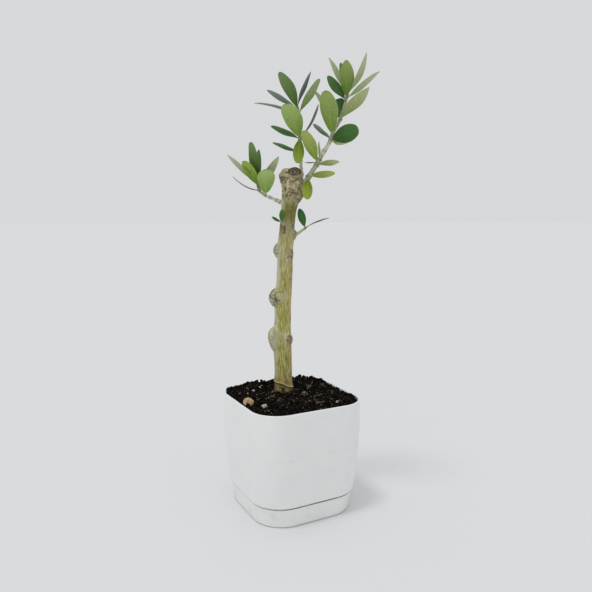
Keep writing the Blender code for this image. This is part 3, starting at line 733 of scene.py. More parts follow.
def tray_size(height, inset=0.0):
    """Side and corner radius of the tray's outer section, straight from base to lip, less the inset."""
    t = height / TRAY_TOP
    side = TRAY_BASE_SIDE + (SEAM_SIDE - 2 * TRAY_LIP_INSET - TRAY_BASE_SIDE) * t
    corner = TRAY_BASE_CORNER + (SEAM_CORNER - TRAY_LIP_INSET - TRAY_BASE_CORNER) * t
    return side - 2 * inset, corner - inset


def sized_rings(size, profile):
    """Rings for a profile of (height, inset) rows, on a section that is a function of height."""
    heights, insets = np.asarray(profile, float).T
    return square_rings(heights, *size(heights, insets))


def quarter_round(height, inset, radius, start, steps=5):
    """Rows of (height, inset) on a quarter circle about this middle, from the start angle on."""
    angles = np.radians(np.linspace(start, start + 90, steps + 1))
    return np.column_stack([height + radius * np.sin(angles), inset + radius * np.cos(angles)])


def build_tray(plastic):
    """The tray: round base edge, wall, round lip, and the floor inside."""
    base, lip = TRAY_EDGE_ROUND, TRAY_LIP_ROUND
    outside = np.concatenate([
        quarter_round(base, base, base, 270)[:, :] * (1, -1) + (0, 2 * base),
        np.column_stack([np.linspace(2 * base, TRAY_TOP - 2 * lip, 10), np.zeros(10)]),
        quarter_round(TRAY_TOP - lip, lip, lip, 0) * (1, -1) + (0, 2 * lip),
        [(TRAY_TOP, TRAY_WALL - lip / 2), (TRAY_TOP - lip / 2, TRAY_WALL),
         (TRAY_FLOOR + base, TRAY_WALL), (TRAY_FLOOR, TRAY_WALL + base)],
    ])
    rings = closed_ends(sized_rings(tray_size, outside))
    make_piece("tray_shell", [grid_patch(rings)], [plastic], ("tray",))


def build_pot(plastic):
    """The pot: foot in the tray, shelf, round lip, body, full round rim and the inner wall."""
    foot_inset = TRAY_WALL + FOOT_CLEARANCE
    foot_base = TRAY_FLOOR + GAP
    rim = POT_WALL / 2
    turns = np.radians(np.linspace(0, 180, 13))
    body = np.concatenate([
        quarter_round(SEAM_HEIGHT + LIP_ROUND, LIP_ROUND, LIP_ROUND, 270) * (1, -1)
        + (0, 2 * LIP_ROUND),
        np.column_stack([np.linspace(SEAM_HEIGHT + 2 * LIP_ROUND, POT_TOP - 2 * rim, 40), np.zeros(40)]),
        np.column_stack([POT_TOP - rim + rim * np.sin(turns), rim - rim * np.cos(turns)]),
        np.column_stack([np.linspace(POT_TOP - 2 * rim, SEAM_HEIGHT + SHELF, 20), np.full(20, POT_WALL)]),
    ])
    foot = sized_rings(tray_size, [(foot_base, foot_inset), (SEAM_HEIGHT, foot_inset)])
    floor = sized_rings(tray_size, [(SEAM_HEIGHT + SHELF, foot_inset + POT_WALL),
                                    (foot_base + POT_FLOOR, foot_inset + POT_WALL)])
    rings = closed_ends(np.concatenate([foot, sized_rings(body_size, body), floor]))
    make_piece("pot_shell", [grid_patch(rings)], [plastic], ("pot",))


# Soil


def soil_height(x, y):
    """Height of the soil's smooth surface: its level, a rise towards the two back edges and a
    small mound round the trunk."""
    reach = RIM_SIDE / 2
    back = eased((y / reach - 0.35) / 0.6) + 0.7 * eased((-x / reach - 0.55) / 0.4)
    away = np.hypot(x - TREE_FOOT[0], y - TREE_FOOT[1])
    return SOIL_LEVEL + HEAP_RISE * np.minimum(back, 1) + SEAT_RISE * np.exp(-(away / SEAT_REACH) ** 2)


def rough_soil_height(x, y):
    """The smooth surface with lumps of three sizes on it."""
    flat = np.stack([x, y, np.zeros_like(x)], axis=-1)
    lumps = (noise(flat, 6 * MM, 11) * 0.9 + noise(flat, 2.6 * MM, 12) * 0.75
             + np.abs(noise(flat, 1.3 * MM, 13)) * 0.6)
    return soil_height(x, y) + lumps * MM


def build_soil(settings):
    """The body of the soil: rings that shrink from the wall to the middle under a lumpy top."""
    peat = soil_material(settings)
    inset = POT_WALL + GAP
    side, corner = body_size(SOIL_LEVEL, inset)
    edge = square_rings([SOIL_LEVEL], [side], [corner], 40, 40)[0]
    shares = np.linspace(1, 0.004, 84)[:, None, None]
    top = edge[None] * np.array((1.0, 1.0, 0.0)) * shares
    top[..., 2] = rough_soil_height(top[..., 0], top[..., 1])
    fade = eased((1 - shares[..., 0]) / 0.05)
    top[..., 2] = SOIL_LEVEL + (top[..., 2] - SOIL_LEVEL) * (0.35 + 0.65 * fade)
    side_heights = np.linspace(SEAM_HEIGHT + SHELF + GAP, SOIL_LEVEL - 2 * MM, 12)
    walls = square_rings(side_heights, *body_size(side_heights, inset), 40, 40)
    rings = closed_ends(np.concatenate([walls, top]))
    make_piece("soil_body", [grid_patch(rings)], [peat], ("soil",), sharp=180)


def lump_grid(rows, columns):
    """A unit ball as rings from pole to pole, to be squashed and roughened."""
    polar = np.linspace(0, math.pi, rows)[:, None]
    round_angle = np.arange(columns)[None, :] * 2 * math.pi / columns
    return np.stack([np.sin(polar) * np.cos(round_angle), np.sin(polar) * np.sin(round_angle),
                     np.broadcast_to(np.cos(polar), (rows, columns))], axis=-1)


def random_turns(random, count):
    """Random turning matrices: the orthogonal factor of matrices of normal numbers."""
    turns = np.linalg.qr(random.normal(size=(count, 3, 3)))[0]
    turns[:, :, 0] *= np.sign(np.linalg.det(turns))[:, None]
    return turns


def lumps(random, places, sizes, rows=5, columns=7, rough=0.3, squash=0.3):
    """One patch of rough lumps: unit balls, each with its own bumps, squash, turn and size."""
    count = len(places)
    grid = lump_grid(rows, columns)
    bumps = 1 + rough * noise(grid[None] * 1.7 + random.uniform(0, 900, (count, 1, 1, 3)), 1.0, 21)
    shape = grid[None] * bumps[..., None] * random.uniform(1 - squash, 1 + squash, (count, 1, 1, 3))
    shape = np.einsum("nij,nrcj->nrci", random_turns(random, count), shape)
    points = places[:, None, None, :] + shape * np.asarray(sizes).reshape(-1, 1, 1, 1)
    first = grid_patch(grid)
    offsets = np.arange(count)[:, None, None] * rows * columns
    faces = (first.faces[None] + offsets).reshape(-1, 4)
    return Patch(points.reshape(-1, 3), faces, 0, {})


def soil_places(random, count, edge=1.0):
    """Random places on the soil within the pot's rounded square, clear of the trunk."""
    side, corner = body_size(SOIL_LEVEL, POT_WALL + GAP)
    half = side / 2 * edge
    spots = random.uniform(-half, half, (count * 2, 2))
    past = np.maximum(np.abs(spots) - (half - corner), 0)
    away = np.hypot(spots[:, 0] - TREE_FOOT[0], spots[:, 1] - TREE_FOOT[1])
    spots = spots[(np.hypot(*past.T) < corner) & (away > 9.5 * MM)][:count]
    return np.column_stack([spots, rough_soil_height(*spots.T)])


def build_soil_bits(settings):
    """Loose clods, perlite, pebbles, bark chips and thin roots on the soil."""
    random = np.random.default_rng(7)
    peat = soil_material(settings, "peat_clods")
    places = soil_places(random, settings.clods, 0.985)
    sizes = CLOD_RANGE[0] + (CLOD_RANGE[1] - CLOD_RANGE[0]) * random.uniform(size=len(places)) ** 2.2
    places[:, 2] += sizes * 0.25
    make_piece("soil_clods", [lumps(random, places, sizes, rough=0.55)], [peat],
               sharp=35)

    perlite = stone_material("perlite", (0.56, 0.54, 0.44), (0.33, 0.30, 0.22), 1.2 * MM)
    known = np.array([(-34.2, 19.6, 1.3), (-25.5, 26.2, 1.3), (-17.2, 31.1, 1.2), (-13.0, 34.6, 1.0),
                      (-0.2, -30.2, 0.9), (-36.8, -21.8, 2.3), (13.9, 0.1, 0.9), (26.3, -38.0, 1.7)]) * MM
    extra = soil_places(random, 90, 0.95)
    spots = np.vstack([known[:, :2], extra[:, :2]])
    sizes = np.concatenate([known[:, 2], random.uniform(0.2, 0.55, len(extra)) * MM])
    places = np.column_stack([spots, rough_soil_height(*spots.T) + sizes * 0.8])
    make_piece("perlite_bits", [lumps(random, places, sizes, 7, 9, 0.4)], [perlite])

    pebble = stone_material("tan_pebble", (0.56, 0.42, 0.20), (0.24, 0.14, 0.05), 1.8 * MM)
    known = np.array([(-45.9, -9.0, 4.4), (29.6, -34.5, 1.2)]) * MM
    places = np.column_stack([known[:, :2], soil_height(*known[:, :2].T) + known[:, 2] * 0.45])
    make_piece("pebbles", [lumps(random, places, known[:, 2], 21, 28, 0.14, 0.10)], [pebble])

    chips = stone_material("bark_chips", (0.13, 0.09, 0.05), (0.04, 0.028, 0.018), 0.8 * MM)
    places = soil_places(random, 130, 0.95)
    sizes = random.uniform(0.6, 1.4, len(places)) * MM
    places[:, 2] += sizes * 0.5
    make_piece("bark_bits", [lumps(random, places, sizes, 5, 7, 0.4, 0.6)], [chips])

    roots = stone_material("thin_roots", (0.24, 0.195, 0.115), (0.09, 0.07, 0.04), 1.6 * MM)
    make_piece("thin_roots", root_patches(random, settings.fibres), [roots])


def root_patches(random, count):
    """Thin roots: each a half-buried arc of even bend that lies on the soil, with a round section."""
    starts = soil_places(random, count, 0.8)
    steps = np.linspace(0, 1, 14)
    lying = [(*start[:2], random.uniform(0, 2 * math.pi), random.uniform(-1.3, 1.3),
              random.uniform(4, 22) * MM, random.uniform(0.12, 0.32) * MM) for start in starts]
    lying += [(x * MM, y * MM, math.radians(heading), bend, length * MM, radius * MM)
              for x, y, heading, bend, length, radius in LARGE_ROOTS]
    patches = []
    for *start, heading, bend, length, radius in lying:
        angles = heading + bend * steps
        x = start[0] + np.cumsum(np.cos(angles)) * length / len(steps)
        y = start[1] + np.cumsum(np.sin(angles)) * length / len(steps)
        limit = RIM_SIDE / 2 - 8 * MM
        x, y = np.clip(x, -limit, limit), np.clip(y, -limit, limit)
        z = rough_soil_height(x, y) + (0.4 + 1.2 * np.sin(math.pi * steps)) * MM
        middles = np.column_stack([x, y, z])
        radii = np.full(len(steps), radius) * (1 - 0.6 * steps)
        patches.append(grid_patch(closed_ends(tube_rings(middles, radii, 5))))
    return patches


# Trunk


def tube_rings(middles, radii, columns):
    """Round rings along a path, square to it: each point is the middle, plus the radius times the
    cosine along one side way and the sine along the other. radii may hold a row for each ring."""
    axes = np.gradient(middles, axis=0)
    axes /= np.linalg.norm(axes, axis=1)[:, None]
    side = np.cross(axes, (0, 1, 0.02))
    side /= np.linalg.norm(side, axis=1)[:, None]
    other = np.cross(side, axes)
    angles = np.arange(columns) * 2 * math.pi / columns
    radii = np.broadcast_to(np.asarray(radii).reshape(len(middles), -1), (len(middles), columns))
    ways = (np.cos(angles)[None, :, None] * side[:, None]
            + np.sin(angles)[None, :, None] * other[:, None])
    return middles[:, None] + radii[..., None] * ways


def pressed_under_face(points):
    """Points near the stub's axis that would stand above the sawn face are moved back under it."""
    axis = direction(STUB_BEARING, STUB_LIFT)
    from_face = points - STUB_FACE
    along = from_face @ axis
    across = np.linalg.norm(from_face - along[..., None] * axis, axis=-1)
    near = np.exp(-(across / STUB_REACH) ** 4)
    return points - (np.maximum(along + STUB_STAND, 0) * near)[..., None] * axis


def crease(points, size, seed, sharpness):
    """Thin winding lines, 1 where the noise crosses nought and 0 away from there."""
    return np.clip(1 - np.abs(noise(points, size, seed)) * sharpness, 0, 1)


def trunk_shape(settings):
    """The trunk's rings and the values that colour it. The radius is a function of height and
    bearing: taper, flare and head, then knobs, pits, creases, long ripples and fine grain."""
    heights, leans, radii = smooth_through(TRUNK_STATIONS, np.linspace(0, 1, TRUNK_RINGS)).T
    heights, leans, radii = (row[:, None] for row in (heights, leans, radii))
    bearings = np.radians(np.arange(TRUNK_COLUMNS) * 360 / TRUNK_COLUMNS)[None, :]
    reach = radii + TRUNK_WAVE * np.sin(TRUNK_FOLDS * bearings + heights / TRUNK_WAVE_RUN)
    skin = np.stack([leans + radii * np.cos(bearings), radii * np.sin(bearings),
                     np.broadcast_to(heights, reach.shape)], axis=-1)
    fine = noise(skin, 1.4 * MM, 31)
    cracks = crease(skin, 3.2 * MM, 32, 4.5)
    small_cracks = crease(skin, 1.7 * MM, 33, 4)
    names = ("rough", "brown", "dark", "film", "pale", "green", "under_head_shade")
    values = {name: np.zeros(reach.shape) for name in names}

    def raise_value(name, value):
        values[name] = np.maximum(values[name], np.clip(value, 0, 1))

    for knob in KNOBS:
        away = (bearings - math.radians(knob.bearing) + math.pi) % (2 * math.pi) - math.pi
        from_knob = heights - knob.height * MM
        along = from_knob / (np.where(from_knob > 0, knob.above, knob.below) * MM)
        across = away * radii / (knob.wide * MM)
        distance = np.sqrt(along ** 2 + 0.4 * across ** 2)
        dome = np.clip(1 - distance ** KNOB_DOME[0], 0, 1) ** KNOB_DOME[1]
        swell = (0.75 * dome + 0.25 * np.exp(-distance ** 2)) * np.exp(-across ** 2)
        wrinkles = np.sin(7 * distance + 3 * noise(skin, 2.5 * MM, 34)) * swell
        relief = 0.20 * wrinkles + (0.45 * fine - 0.7 * cracks) * swell
        reach = reach + (knob.rise * swell + knob.rough * settings.relief * relief) * MM
        raise_value("rough", knob.rough * 0.8 * eased(swell * 1.5 - 0.3))
        raise_value("brown", knob.brown * eased(swell * 1.6 - 0.3 + 0.4 * fine))
        # A pale halo of film round each knob: film on the bark and painted light.
        halo = np.exp(-(from_knob / (8 * MM)) ** 2 - (0.55 * across) ** 2)
        raise_value("film", np.maximum(knob.grey * eased(swell * 1.6 - 0.3), 0.6 * eased(halo)))
        # Painted shade in the knob's cracks.
        raise_value("dark", knob.rough * eased(swell * 1.6) * np.maximum(0.9 * cracks, 0.6 * small_cracks))
    for height, bearing, depth, radius in PITS:
        away = (bearings - math.radians(bearing) + math.pi) % (2 * math.pi) - math.pi
        off = ((heights - height * MM) ** 2 + (away * radii) ** 2) / (radius * MM) ** 2
        reach = reach - depth * MM * np.exp(-off)
        # Painted shade inside the pit.
        raise_value("dark", eased(1.8 * np.exp(-off) - 0.4))

    head = eased((heights - 172 * MM) / (10 * MM))
    ripples = noise(skin, np.array((2.0, 2.0, 14)) * MM, 35)
    grain = noise(skin, np.array((1.0, 1.0, 6)) * MM, 36)
    swells = noise(skin, np.array((4.5, 4.5, 7)) * MM, 37)
    folds = noise(skin + 2.5 * MM * swells[..., None], np.array((4.5, 4.5, 2.2)) * MM, 38)
    relief = (0.15 * ripples + 0.07 * grain + 0.18 * swells
              + head * (0.55 * folds + 0.35 * fine - 0.6 * cracks))
    raise_value("rough", head * eased(0.9 + 0.5 * swells))
    # Brown on the head, more towards its right side, away from the light: brown bark and painted shade.
    raise_value("brown", head * 0.55 * eased(0.3 + 1.2 * folds - 0.6 * np.cos(bearings - math.pi)))
    # Painted shade in the head's cracks.
    raise_value("dark", head * (0.75 * cracks + 0.45 * small_cracks) * eased(0.8 + swells))
    fibres = crease(skin, np.array((1.6, 1.6, 3.2)) * MM, 39, 6)
    patch = np.exp(-((heights - 188 * MM) / (5 * MM)) ** 2
                   - ((bearings - math.radians(258)) / math.radians(30)) ** 2)
    raise_value("pale", fibres * eased(patch * 1.6))

    ridge_height = FOOT_RIDGE_HEIGHT + FOOT_RIDGE_TILT * np.cos(bearings - FOOT_RIDGE_BEARING)
    ridge_height = ridge_height + 0.7 * MM * noise(skin, 5 * MM, 40)
    ridge = np.exp(-((heights - ridge_height) / (0.6 * MM)) ** 2)
    below_ridge = eased((ridge_height - heights) / (1.2 * MM))
    foot = eased((20 * MM - heights + 5 * MM * noise(skin, 7 * MM, 41)) / (10 * MM))
    relief = relief + 0.75 * ridge + below_ridge * (0.3 * fine + 0.5 * folds - 0.25)
    raise_value("brown", foot * eased(0.65 + 1.1 * ripples + 0.5 * swells) * (1 - 0.8 * ridge))
    raise_value("brown", below_ridge * eased(0.8 + swells))
    raise_value("pale", 0.75 * ridge * eased(0.55 + 1.4 * swells))
    # Painted shade in the recess under the ridge.
    raise_value("dark", below_ridge * np.maximum(eased(0.35 + 1.8 * folds), 0.9 * cracks))
    reach = reach + settings.relief * relief * MM

    # Grey film thickest on the trunk's left side, which faces the light: bark film and painted light.
    lit_left_side = np.exp(-((bearings - math.radians(188)) / math.radians(46)) ** 2)
    raise_value("film", eased(1.3 * lit_left_side - 0.15 + 0.4 * swells) * (1 - foot) * (1 - head))
    middle = np.exp(-((bearings - math.radians(263)) / math.radians(34)) ** 2)
    raise_value("green", middle * eased((118 * MM - heights) / (30 * MM))
                * eased((heights - 16 * MM) / (16 * MM)) * 0.9)
    # Painted shade on the trunk below the head.
    under_head_shade = eased((heights - 138 * MM) / (14 * MM)) * (1 - head)
    wrinkles = crease(skin + 1.5 * MM * swells[..., None], np.array((5, 5, 2.1)) * MM, 44, 4)
    raise_value("under_head_shade", under_head_shade)
    # Painted shade in the wrinkles under the head.
    raise_value("dark", 0.75 * under_head_shade * wrinkles * eased(0.4 + 1.5 * ripples))
    points = np.stack([leans + reach * np.cos(bearings), reach * np.sin(bearings) * TRUNK_DEPTH,
                       np.broadcast_to(heights, reach.shape)], axis=-1)
    return pressed_under_face(points), values


def closed_values(values):
    """Values for rings that closed_ends has closed: the first and the last row again."""
    return {name: np.concatenate([value[:1], value, value[-1:]]) for name, value in values.items()}


def stub_shape():
    """The sawn stub: a rough tube with a rolled rim, and its face as rings that shrink to a point.
    The face's value is the share of the way from its middle to its rim."""
    axis = direction(STUB_BEARING, STUB_LIFT)
    side = np.cross(axis, (0, 0, 1))
    side /= np.linalg.norm(side)
    other = np.cross(side, axis)
    angles = np.arange(STUB_COLUMNS) * 2 * math.pi / STUB_COLUMNS
    ways = np.outer(np.cos(angles), side) + np.outer(np.sin(angles), other) * 0.94
    depths = np.concatenate([np.linspace(-STUB_LENGTH, -0.6 * MM, 22), [-0.25 * MM, 0.0]])
    radii = STUB_RADIUS * np.concatenate([np.linspace(1.08, 1, 22), [0.985, 0.94]])
    wall = STUB_FACE + depths[:, None, None] * axis + radii[:, None, None] * ways
    wall = wall + ways * (noise(wall, 2.2 * MM, 42) * 0.5 * MM)[..., None]
    shares = np.linspace(0.90, 0.02, 26)
    dip = -0.35 * MM * eased((0.93 - shares) / 0.1)
    face = STUB_FACE + dip[:, None, None] * axis + (shares * STUB_RADIUS)[:, None, None] * ways
    face = face + axis * (noise(face, 1.5 * MM, 43) * 0.2 * MM)[..., None]
    bridge = np.concatenate([wall[-1:], face])
    rim = np.concatenate([[1.0], shares])[:, None]
    return wall, bridge, rim


def build_trunk(settings):
    """The trunk with its bark's relief, and the sawn face on top of its head."""
    bark = bark_material(settings)
    points, values = trunk_shape(settings)
    trunk = grid_patch(closed_ends(tree_to_frame(points)), 0, **closed_values(values), rim=0.0)
    wall, face, rim = stub_shape()
    base = closed_ends(wall)[:-1]
    stub_values = dict.fromkeys(values, 0.0) | {"rough": 0.9, "brown": 0.3, "dark": 0.15}
    stub = grid_patch(tree_to_frame(base), 0, **stub_values, rim=0.0)
    disc = closed_ends(face)[1:]
    sawn = grid_patch(tree_to_frame(disc), 1, **dict.fromkeys(values, 0.0),
                      rim=np.vstack([rim, rim[-1:]]))
    make_piece("trunk_bark", [trunk, stub, sawn], [bark, heartwood_material(settings)],
               ("trunk",), sharp=70)


# Boughs and sprays


def limb_patch(limb, start, stop, leaves, slot=0):
    """A stretch of a limb: a round section along the curve through its points. It tapers, swells
    where a leaf sits, and has a collar where it leaves the trunk."""
    points = np.array(limb.points) * MM
    length = np.linalg.norm(np.diff(points, axis=0), axis=1).sum()
    rings = max(6, round((stop - start) * length / LIMB_RING_SPACING))
    places = np.linspace(start, stop, rings)
    middles = smooth_through(points, places)
    radii = limb.thick + (limb.thin - limb.thick) * places
    from_trunk = places * length
    radii = radii * (1 + COLLAR_RISE * np.exp(-(from_trunk / COLLAR_REACH) ** 2))
    joints = np.zeros(rings)
    for place in {*limb.joints, *(leaf.place for leaf in leaves)}:
        joints = np.maximum(joints, np.exp(-((places - place) * length / NODE_REACH) ** 2))
    radii = radii * (1 + NODE_RISE * joints)
    middles = tree_to_frame(middles)
    surface = tube_rings(middles, radii, LIMB_COLUMNS)
    bumps = 1 + (0.10 + 0.12 * joints[:, None]) * noise(surface, 1.5 * MM, 51)
    surface = middles[:, None] + (surface - middles[:, None]) * bumps[..., None]
    joint_values = np.concatenate([joints[:1], joints, joints[-1:]])[:, None]
    return grid_patch(closed_ends(surface), slot, joint=joint_values)


def leaf_frame(limb, leaf):
    """Where a leaf starts, the way ahead, the way to its side and the way out of its upper face."""
    root = smooth_through(np.array(limb.points) * MM, [leaf.place])[0]
    ahead = direction(leaf.bearing, leaf.lift)
    up = direction(leaf.bearing, leaf.lift + 90)
    side = np.cross(ahead, up)
    roll = math.radians(leaf.roll)
    normal = math.cos(roll) * up + math.sin(roll) * side
    return root, ahead, math.cos(roll) * side - math.sin(roll) * up, normal


def leaf_patches(limb, leaf, seed, upper_slot, under_slot):
    """A leaf as closed rings along its spine. Its half width is a power of a half wave, and the
    power changes to the leaf's own point towards the tip. The spine bends evenly, the edges turn
    down, wave a little and thin out, and a midrib stands out below and is sunk above."""
    random = np.random.default_rng(seed)
    root, ahead, side, normal = leaf_frame(limb, leaf)
    share = np.linspace(0, 1, LEAF_STATIONS) ** 0.92
    share = share[:, None]
    slope = math.radians(leaf.bend) * (0.5 - share)
    step = np.diff(share, axis=0) * leaf.length * MM
    mid_slope = (slope[1:] + slope[:-1]) / 2
    run = np.concatenate([[[0.0]], np.cumsum(step * np.cos(mid_slope), axis=0)])
    rise = np.concatenate([[[0.0]], np.cumsum(step * np.sin(mid_slope), axis=0)])
    spine = root + ahead * run + normal * rise
    normals = normal * np.cos(slope) - ahead * np.sin(slope)

    blade = np.clip((share - PETIOLE_SHARE) / (1 - PETIOLE_SHARE), 0, 1)
    slimness = 1 - leaf.width / leaf.length
    blunt = slimness + (leaf.point - slimness) * eased(blade * 1.6 - 0.6)
    half = leaf.width * MM / 2 * np.sin(math.pi * blade ** (1.5 - 0.6 * slimness)) ** blunt
    stalk = 1 - eased(blade / 0.10)
    half = np.maximum(half, PETIOLE_RADIUS * (1 - 0.75 * share) * (1 - 0.9 * blade ** 6))

    angles = (np.arange(LEAF_COLUMNS) * 2 * math.pi / LEAF_COLUMNS)[None, :]
    crowding = 1 + (COLUMN_CROWDING - 1) * (1 - stalk)
    across = np.sign(np.cos(angles)) * np.abs(np.cos(angles)) ** crowding
    offset = across * half
    thickness = BLADE_HALF_THICKNESS * (1.15 - 0.6 * share) + (PETIOLE_RADIUS - BLADE_HALF_THICKNESS) * stalk
    lift = np.sin(angles) * np.minimum(thickness, half * 0.8)
    rib = np.exp(-(offset / MIDRIB_WIDTH) ** 2) * (1 - stalk) * (1 - 0.8 * share)
    lift = lift - rib * np.where(np.sin(angles) > 0, MIDRIB_GROOVE, MIDRIB_RISE)
    phase = random.uniform(0, 2 * math.pi)
    cup = leaf.cup * np.sin(math.pi * share) * across ** 2
    wave = 0.05 * np.sin(share * random.uniform(7, 11) + phase) * np.sin(math.pi * share) * across
    lift = lift - half * (cup + wave)
    points = (spine[:, None] + side * offset[..., None]
              + normals[:, None] * lift[..., None])
    columns = np.sin(angles[0] + math.pi / LEAF_COLUMNS) > 0
    rows = LEAF_STATIONS + 1
    slot = np.where(np.broadcast_to(columns, (rows, LEAF_COLUMNS)), upper_slot, under_slot).ravel()
    values = closed_values({"across": offset,
                            "along": np.broadcast_to(share * leaf.length * MM, offset.shape),
                            "share": np.broadcast_to(share, offset.shape)})
    return grid_patch(closed_ends(tree_to_frame(points)), slot, **values)


def bud_patches(random, limb, leaves):
    """Small pointed buds where the leaves meet the limb, and a larger one at its tip."""
    buds = []
    for leaf in leaves:
        root, ahead, _, normal = leaf_frame(limb, leaf)
        along = ahead * 0.5 + normal * 0.6
        buds.append((root + along * 1.8 * MM, along, 0.75 * MM))
    points = np.array(limb.points) * MM
    tip_way = points[-1] - points[-2]
    tip_way /= np.linalg.norm(tip_way)
    buds.append((points[-1] + tip_way * 1.0 * MM, tip_way, 1.15 * MM))
    grid = lump_grid(9, 10)
    patches = []
    for middle, way, size in buds:
        way = way / np.linalg.norm(way)
        across = np.cross(way, random.normal(size=3))
        across /= np.linalg.norm(across)
        third = np.cross(way, across)
        taper = 0.55 * (1 - 0.35 * grid[..., 2:])
        local = (across * grid[..., :1] * taper + third * grid[..., 1:2] * taper + way * grid[..., 2:] * 1.7)
        patches.append(grid_patch(tree_to_frame(middle + local * size), 0, joint=0.25))
    return patches


def build_boughs(settings):
    """The bare stretches of the limbs."""
    bark = twig_material("bough_bark", settings.twig)
    for name, limb, start, stop in BOUGHS:
        make_piece(name + "_bark", [limb_patch(limb, start, stop, [])], [bark], (name,))


def build_sprays(settings):
    """Each mass of leaves: its shoot with buds as one piece, and its leaves as another."""
    shoot = twig_material("shoot_bark", settings.twig)
    faces = {}
    for tone in TONES:
        upper, under = getattr(settings, tone + "_upper"), getattr(settings, tone + "_under")
        faces[tone] = (leaf_material(f"leaf_{tone}_upper", upper, 0.38, 1.6),
                       leaf_material(f"leaf_{tone}_under", under, 0.55, 1.25))
    random = np.random.default_rng(5)
    for seed, (name, limb, start, stop, leaves) in enumerate(SPRAYS):
        patches = [limb_patch(limb, start, stop, leaves), *bud_patches(random, limb, leaves)]
        make_piece(name + "_shoot", patches, [shoot], (name,))
        tones = sorted({leaf.tone for leaf in leaves})
        materials = [face for tone in tones for face in faces[tone]]
        blades = [leaf_patches(limb, leaf, 100 * seed + number, 2 * tones.index(leaf.tone),
                               2 * tones.index(leaf.tone) + 1)
                  for number, leaf in enumerate(leaves)]
        make_piece(name + "_leaves", blades, materials, (name,), sharp=60)


# Stage


def build_stage(settings):
    """A wide pale floor, a soft lamp nearly overhead, a slim one for the gloss, and the camera."""
    scene = bpy.context.scene
    reach = 30.0
    mesh = bpy.data.meshes.new("floor")
    mesh.from_pydata([(-reach, -reach, 0), (reach, -reach, 0), (reach, reach, 0), (-reach, reach, 0)],
                     [], [(0, 1, 2, 3)])
    mesh.materials.append(Nodes("floor_paint", settings.floor, 0.9).material)
    mesh.materials[0].node_tree.nodes["Principled BSDF"].inputs["Specular IOR Level"].default_value = 0.1
    floor = bpy.data.objects.new("floor", mesh)
    scene.collection.objects.link(floor)

    world = bpy.data.worlds.new("room")
    world.use_nodes = True
    world.node_tree.nodes["Background"].inputs["Color"].default_value = (*settings.room, 1.0)
    scene.world = world

    sun = bpy.data.lights.new("soft_sun", "SUN")
    sun.energy = settings.sun
    sun.angle = math.radians(12)
    sun_object = bpy.data.objects.new("soft_sun", sun)
    sun_object.rotation_euler = (math.radians(18), 0, math.radians(-78))
    scene.collection.objects.link(sun_object)

    strip = bpy.data.lights.new("strip", "AREA")
    strip.shape = "RECTANGLE"
    strip.size, strip.size_y = 0.10, 0.9
    strip.energy = 1.2
    strip_object = bpy.data.objects.new("strip", strip)
    strip_object.location = (-1.6, -1.1, 0.45)
    strip_object.rotation_euler = (math.radians(86), 0, math.radians(-55))
    scene.collection.objects.link(strip_object)

    camera = bpy.data.cameras.new("camera")
    camera.lens = CAMERA_LENS
    camera.sensor_width = CAMERA_SENSOR
    camera_object = bpy.data.objects.new("camera", camera)
    camera_object.location = CAMERA_PLACE
    camera_object.rotation_euler = (CAMERA_PITCH, 0, CAMERA_YAW)
    scene.collection.objects.link(camera_object)
    scene.camera = camera_object
    scene.view_settings.view_transform = "Standard"


class OLIVE_OT_stage(bpy.types.Operator):
    """Set up the floor, the lamps and the camera"""

    bl_idname = "olive.stage"
    bl_label = "Stage"

    def execute(self, context):
        build_stage(context.scene.olive_stage)
        return {"FINISHED"}


class OLIVE_OT_pot(bpy.types.Operator):
    """Build the pot and its tray"""

    bl_idname = "olive.pot"
    bl_label = "Pot and tray"

    def execute(self, context):
        plastic = plastic_material(context.scene.olive_pot)
        build_tray(plastic)
        build_pot(plastic)
        return {"FINISHED"}


class OLIVE_OT_soil(bpy.types.Operator):
    """Build the soil and the bits that lie on it"""

    bl_idname = "olive.soil"
    bl_label = "Soil"

    def execute(self, context):
        build_soil(context.scene.olive_soil)
        build_soil_bits(context.scene.olive_soil)
        return {"FINISHED"}


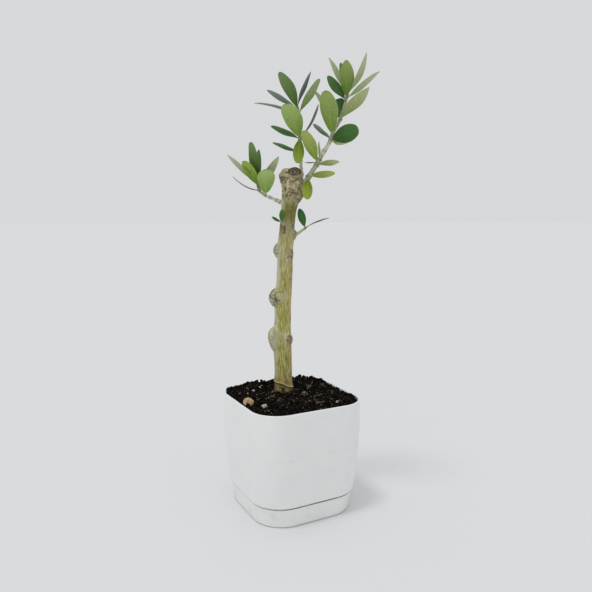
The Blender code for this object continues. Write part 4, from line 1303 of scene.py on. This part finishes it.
class OLIVE_OT_trunk(bpy.types.Operator):
    """Build the trunk and its sawn stub"""

    bl_idname = "olive.trunk"
    bl_label = "Trunk"

    def execute(self, context):
        build_trunk(context.scene.olive_trunk)
        return {"FINISHED"}


class OLIVE_OT_boughs(bpy.types.Operator):
    """Build the bare boughs"""

    bl_idname = "olive.boughs"
    bl_label = "Boughs"

    def execute(self, context):
        build_boughs(context.scene.olive_trunk)
        return {"FINISHED"}


class OLIVE_OT_sprays(bpy.types.Operator):
    """Build the leafy shoots"""

    bl_idname = "olive.sprays"
    bl_label = "Leafy shoots"

    def execute(self, context):
        build_sprays(context.scene.olive_foliage)
        return {"FINISHED"}


OPERATORS = (OLIVE_OT_stage, OLIVE_OT_pot, OLIVE_OT_soil, OLIVE_OT_trunk, OLIVE_OT_boughs,
             OLIVE_OT_sprays)
SETTINGS = {
    "olive_pot": PotSettings,
    "olive_soil": SoilSettings,
    "olive_trunk": TrunkSettings,
    "olive_foliage": FoliageSettings,
    "olive_stage": StageSettings,
}


class OLIVE_PT_panel(bpy.types.Panel):
    """Buttons for the tree's pieces, and their settings"""

    bl_idname = "OLIVE_PT_panel"
    bl_label = "Potted olive tree"
    bl_space_type = "VIEW_3D"
    bl_region_type = "UI"
    bl_category = "Olive"

    def draw(self, context):
        for operator in OPERATORS:
            self.layout.operator(operator.bl_idname)
        for name, group in SETTINGS.items():
            box = self.layout.box()
            for field in group.__annotations__:
                box.prop(getattr(context.scene, name), field)


def register():
    for group in (*SETTINGS.values(), *OPERATORS, OLIVE_PT_panel):
        bpy.utils.register_class(group)
    for name, group in SETTINGS.items():
        setattr(bpy.types.Scene, name, PointerProperty(type=group))


def unregister():
    for name in SETTINGS:
        delattr(bpy.types.Scene, name)
    for group in (OLIVE_PT_panel, *OPERATORS[::-1], *SETTINGS.values()):
        bpy.utils.unregister_class(group)


def main():
    register()
    for build in (bpy.ops.olive.stage, bpy.ops.olive.pot, bpy.ops.olive.soil, bpy.ops.olive.trunk,
                  bpy.ops.olive.boughs, bpy.ops.olive.sprays):
        build()


if __name__ == "__main__":
    main()
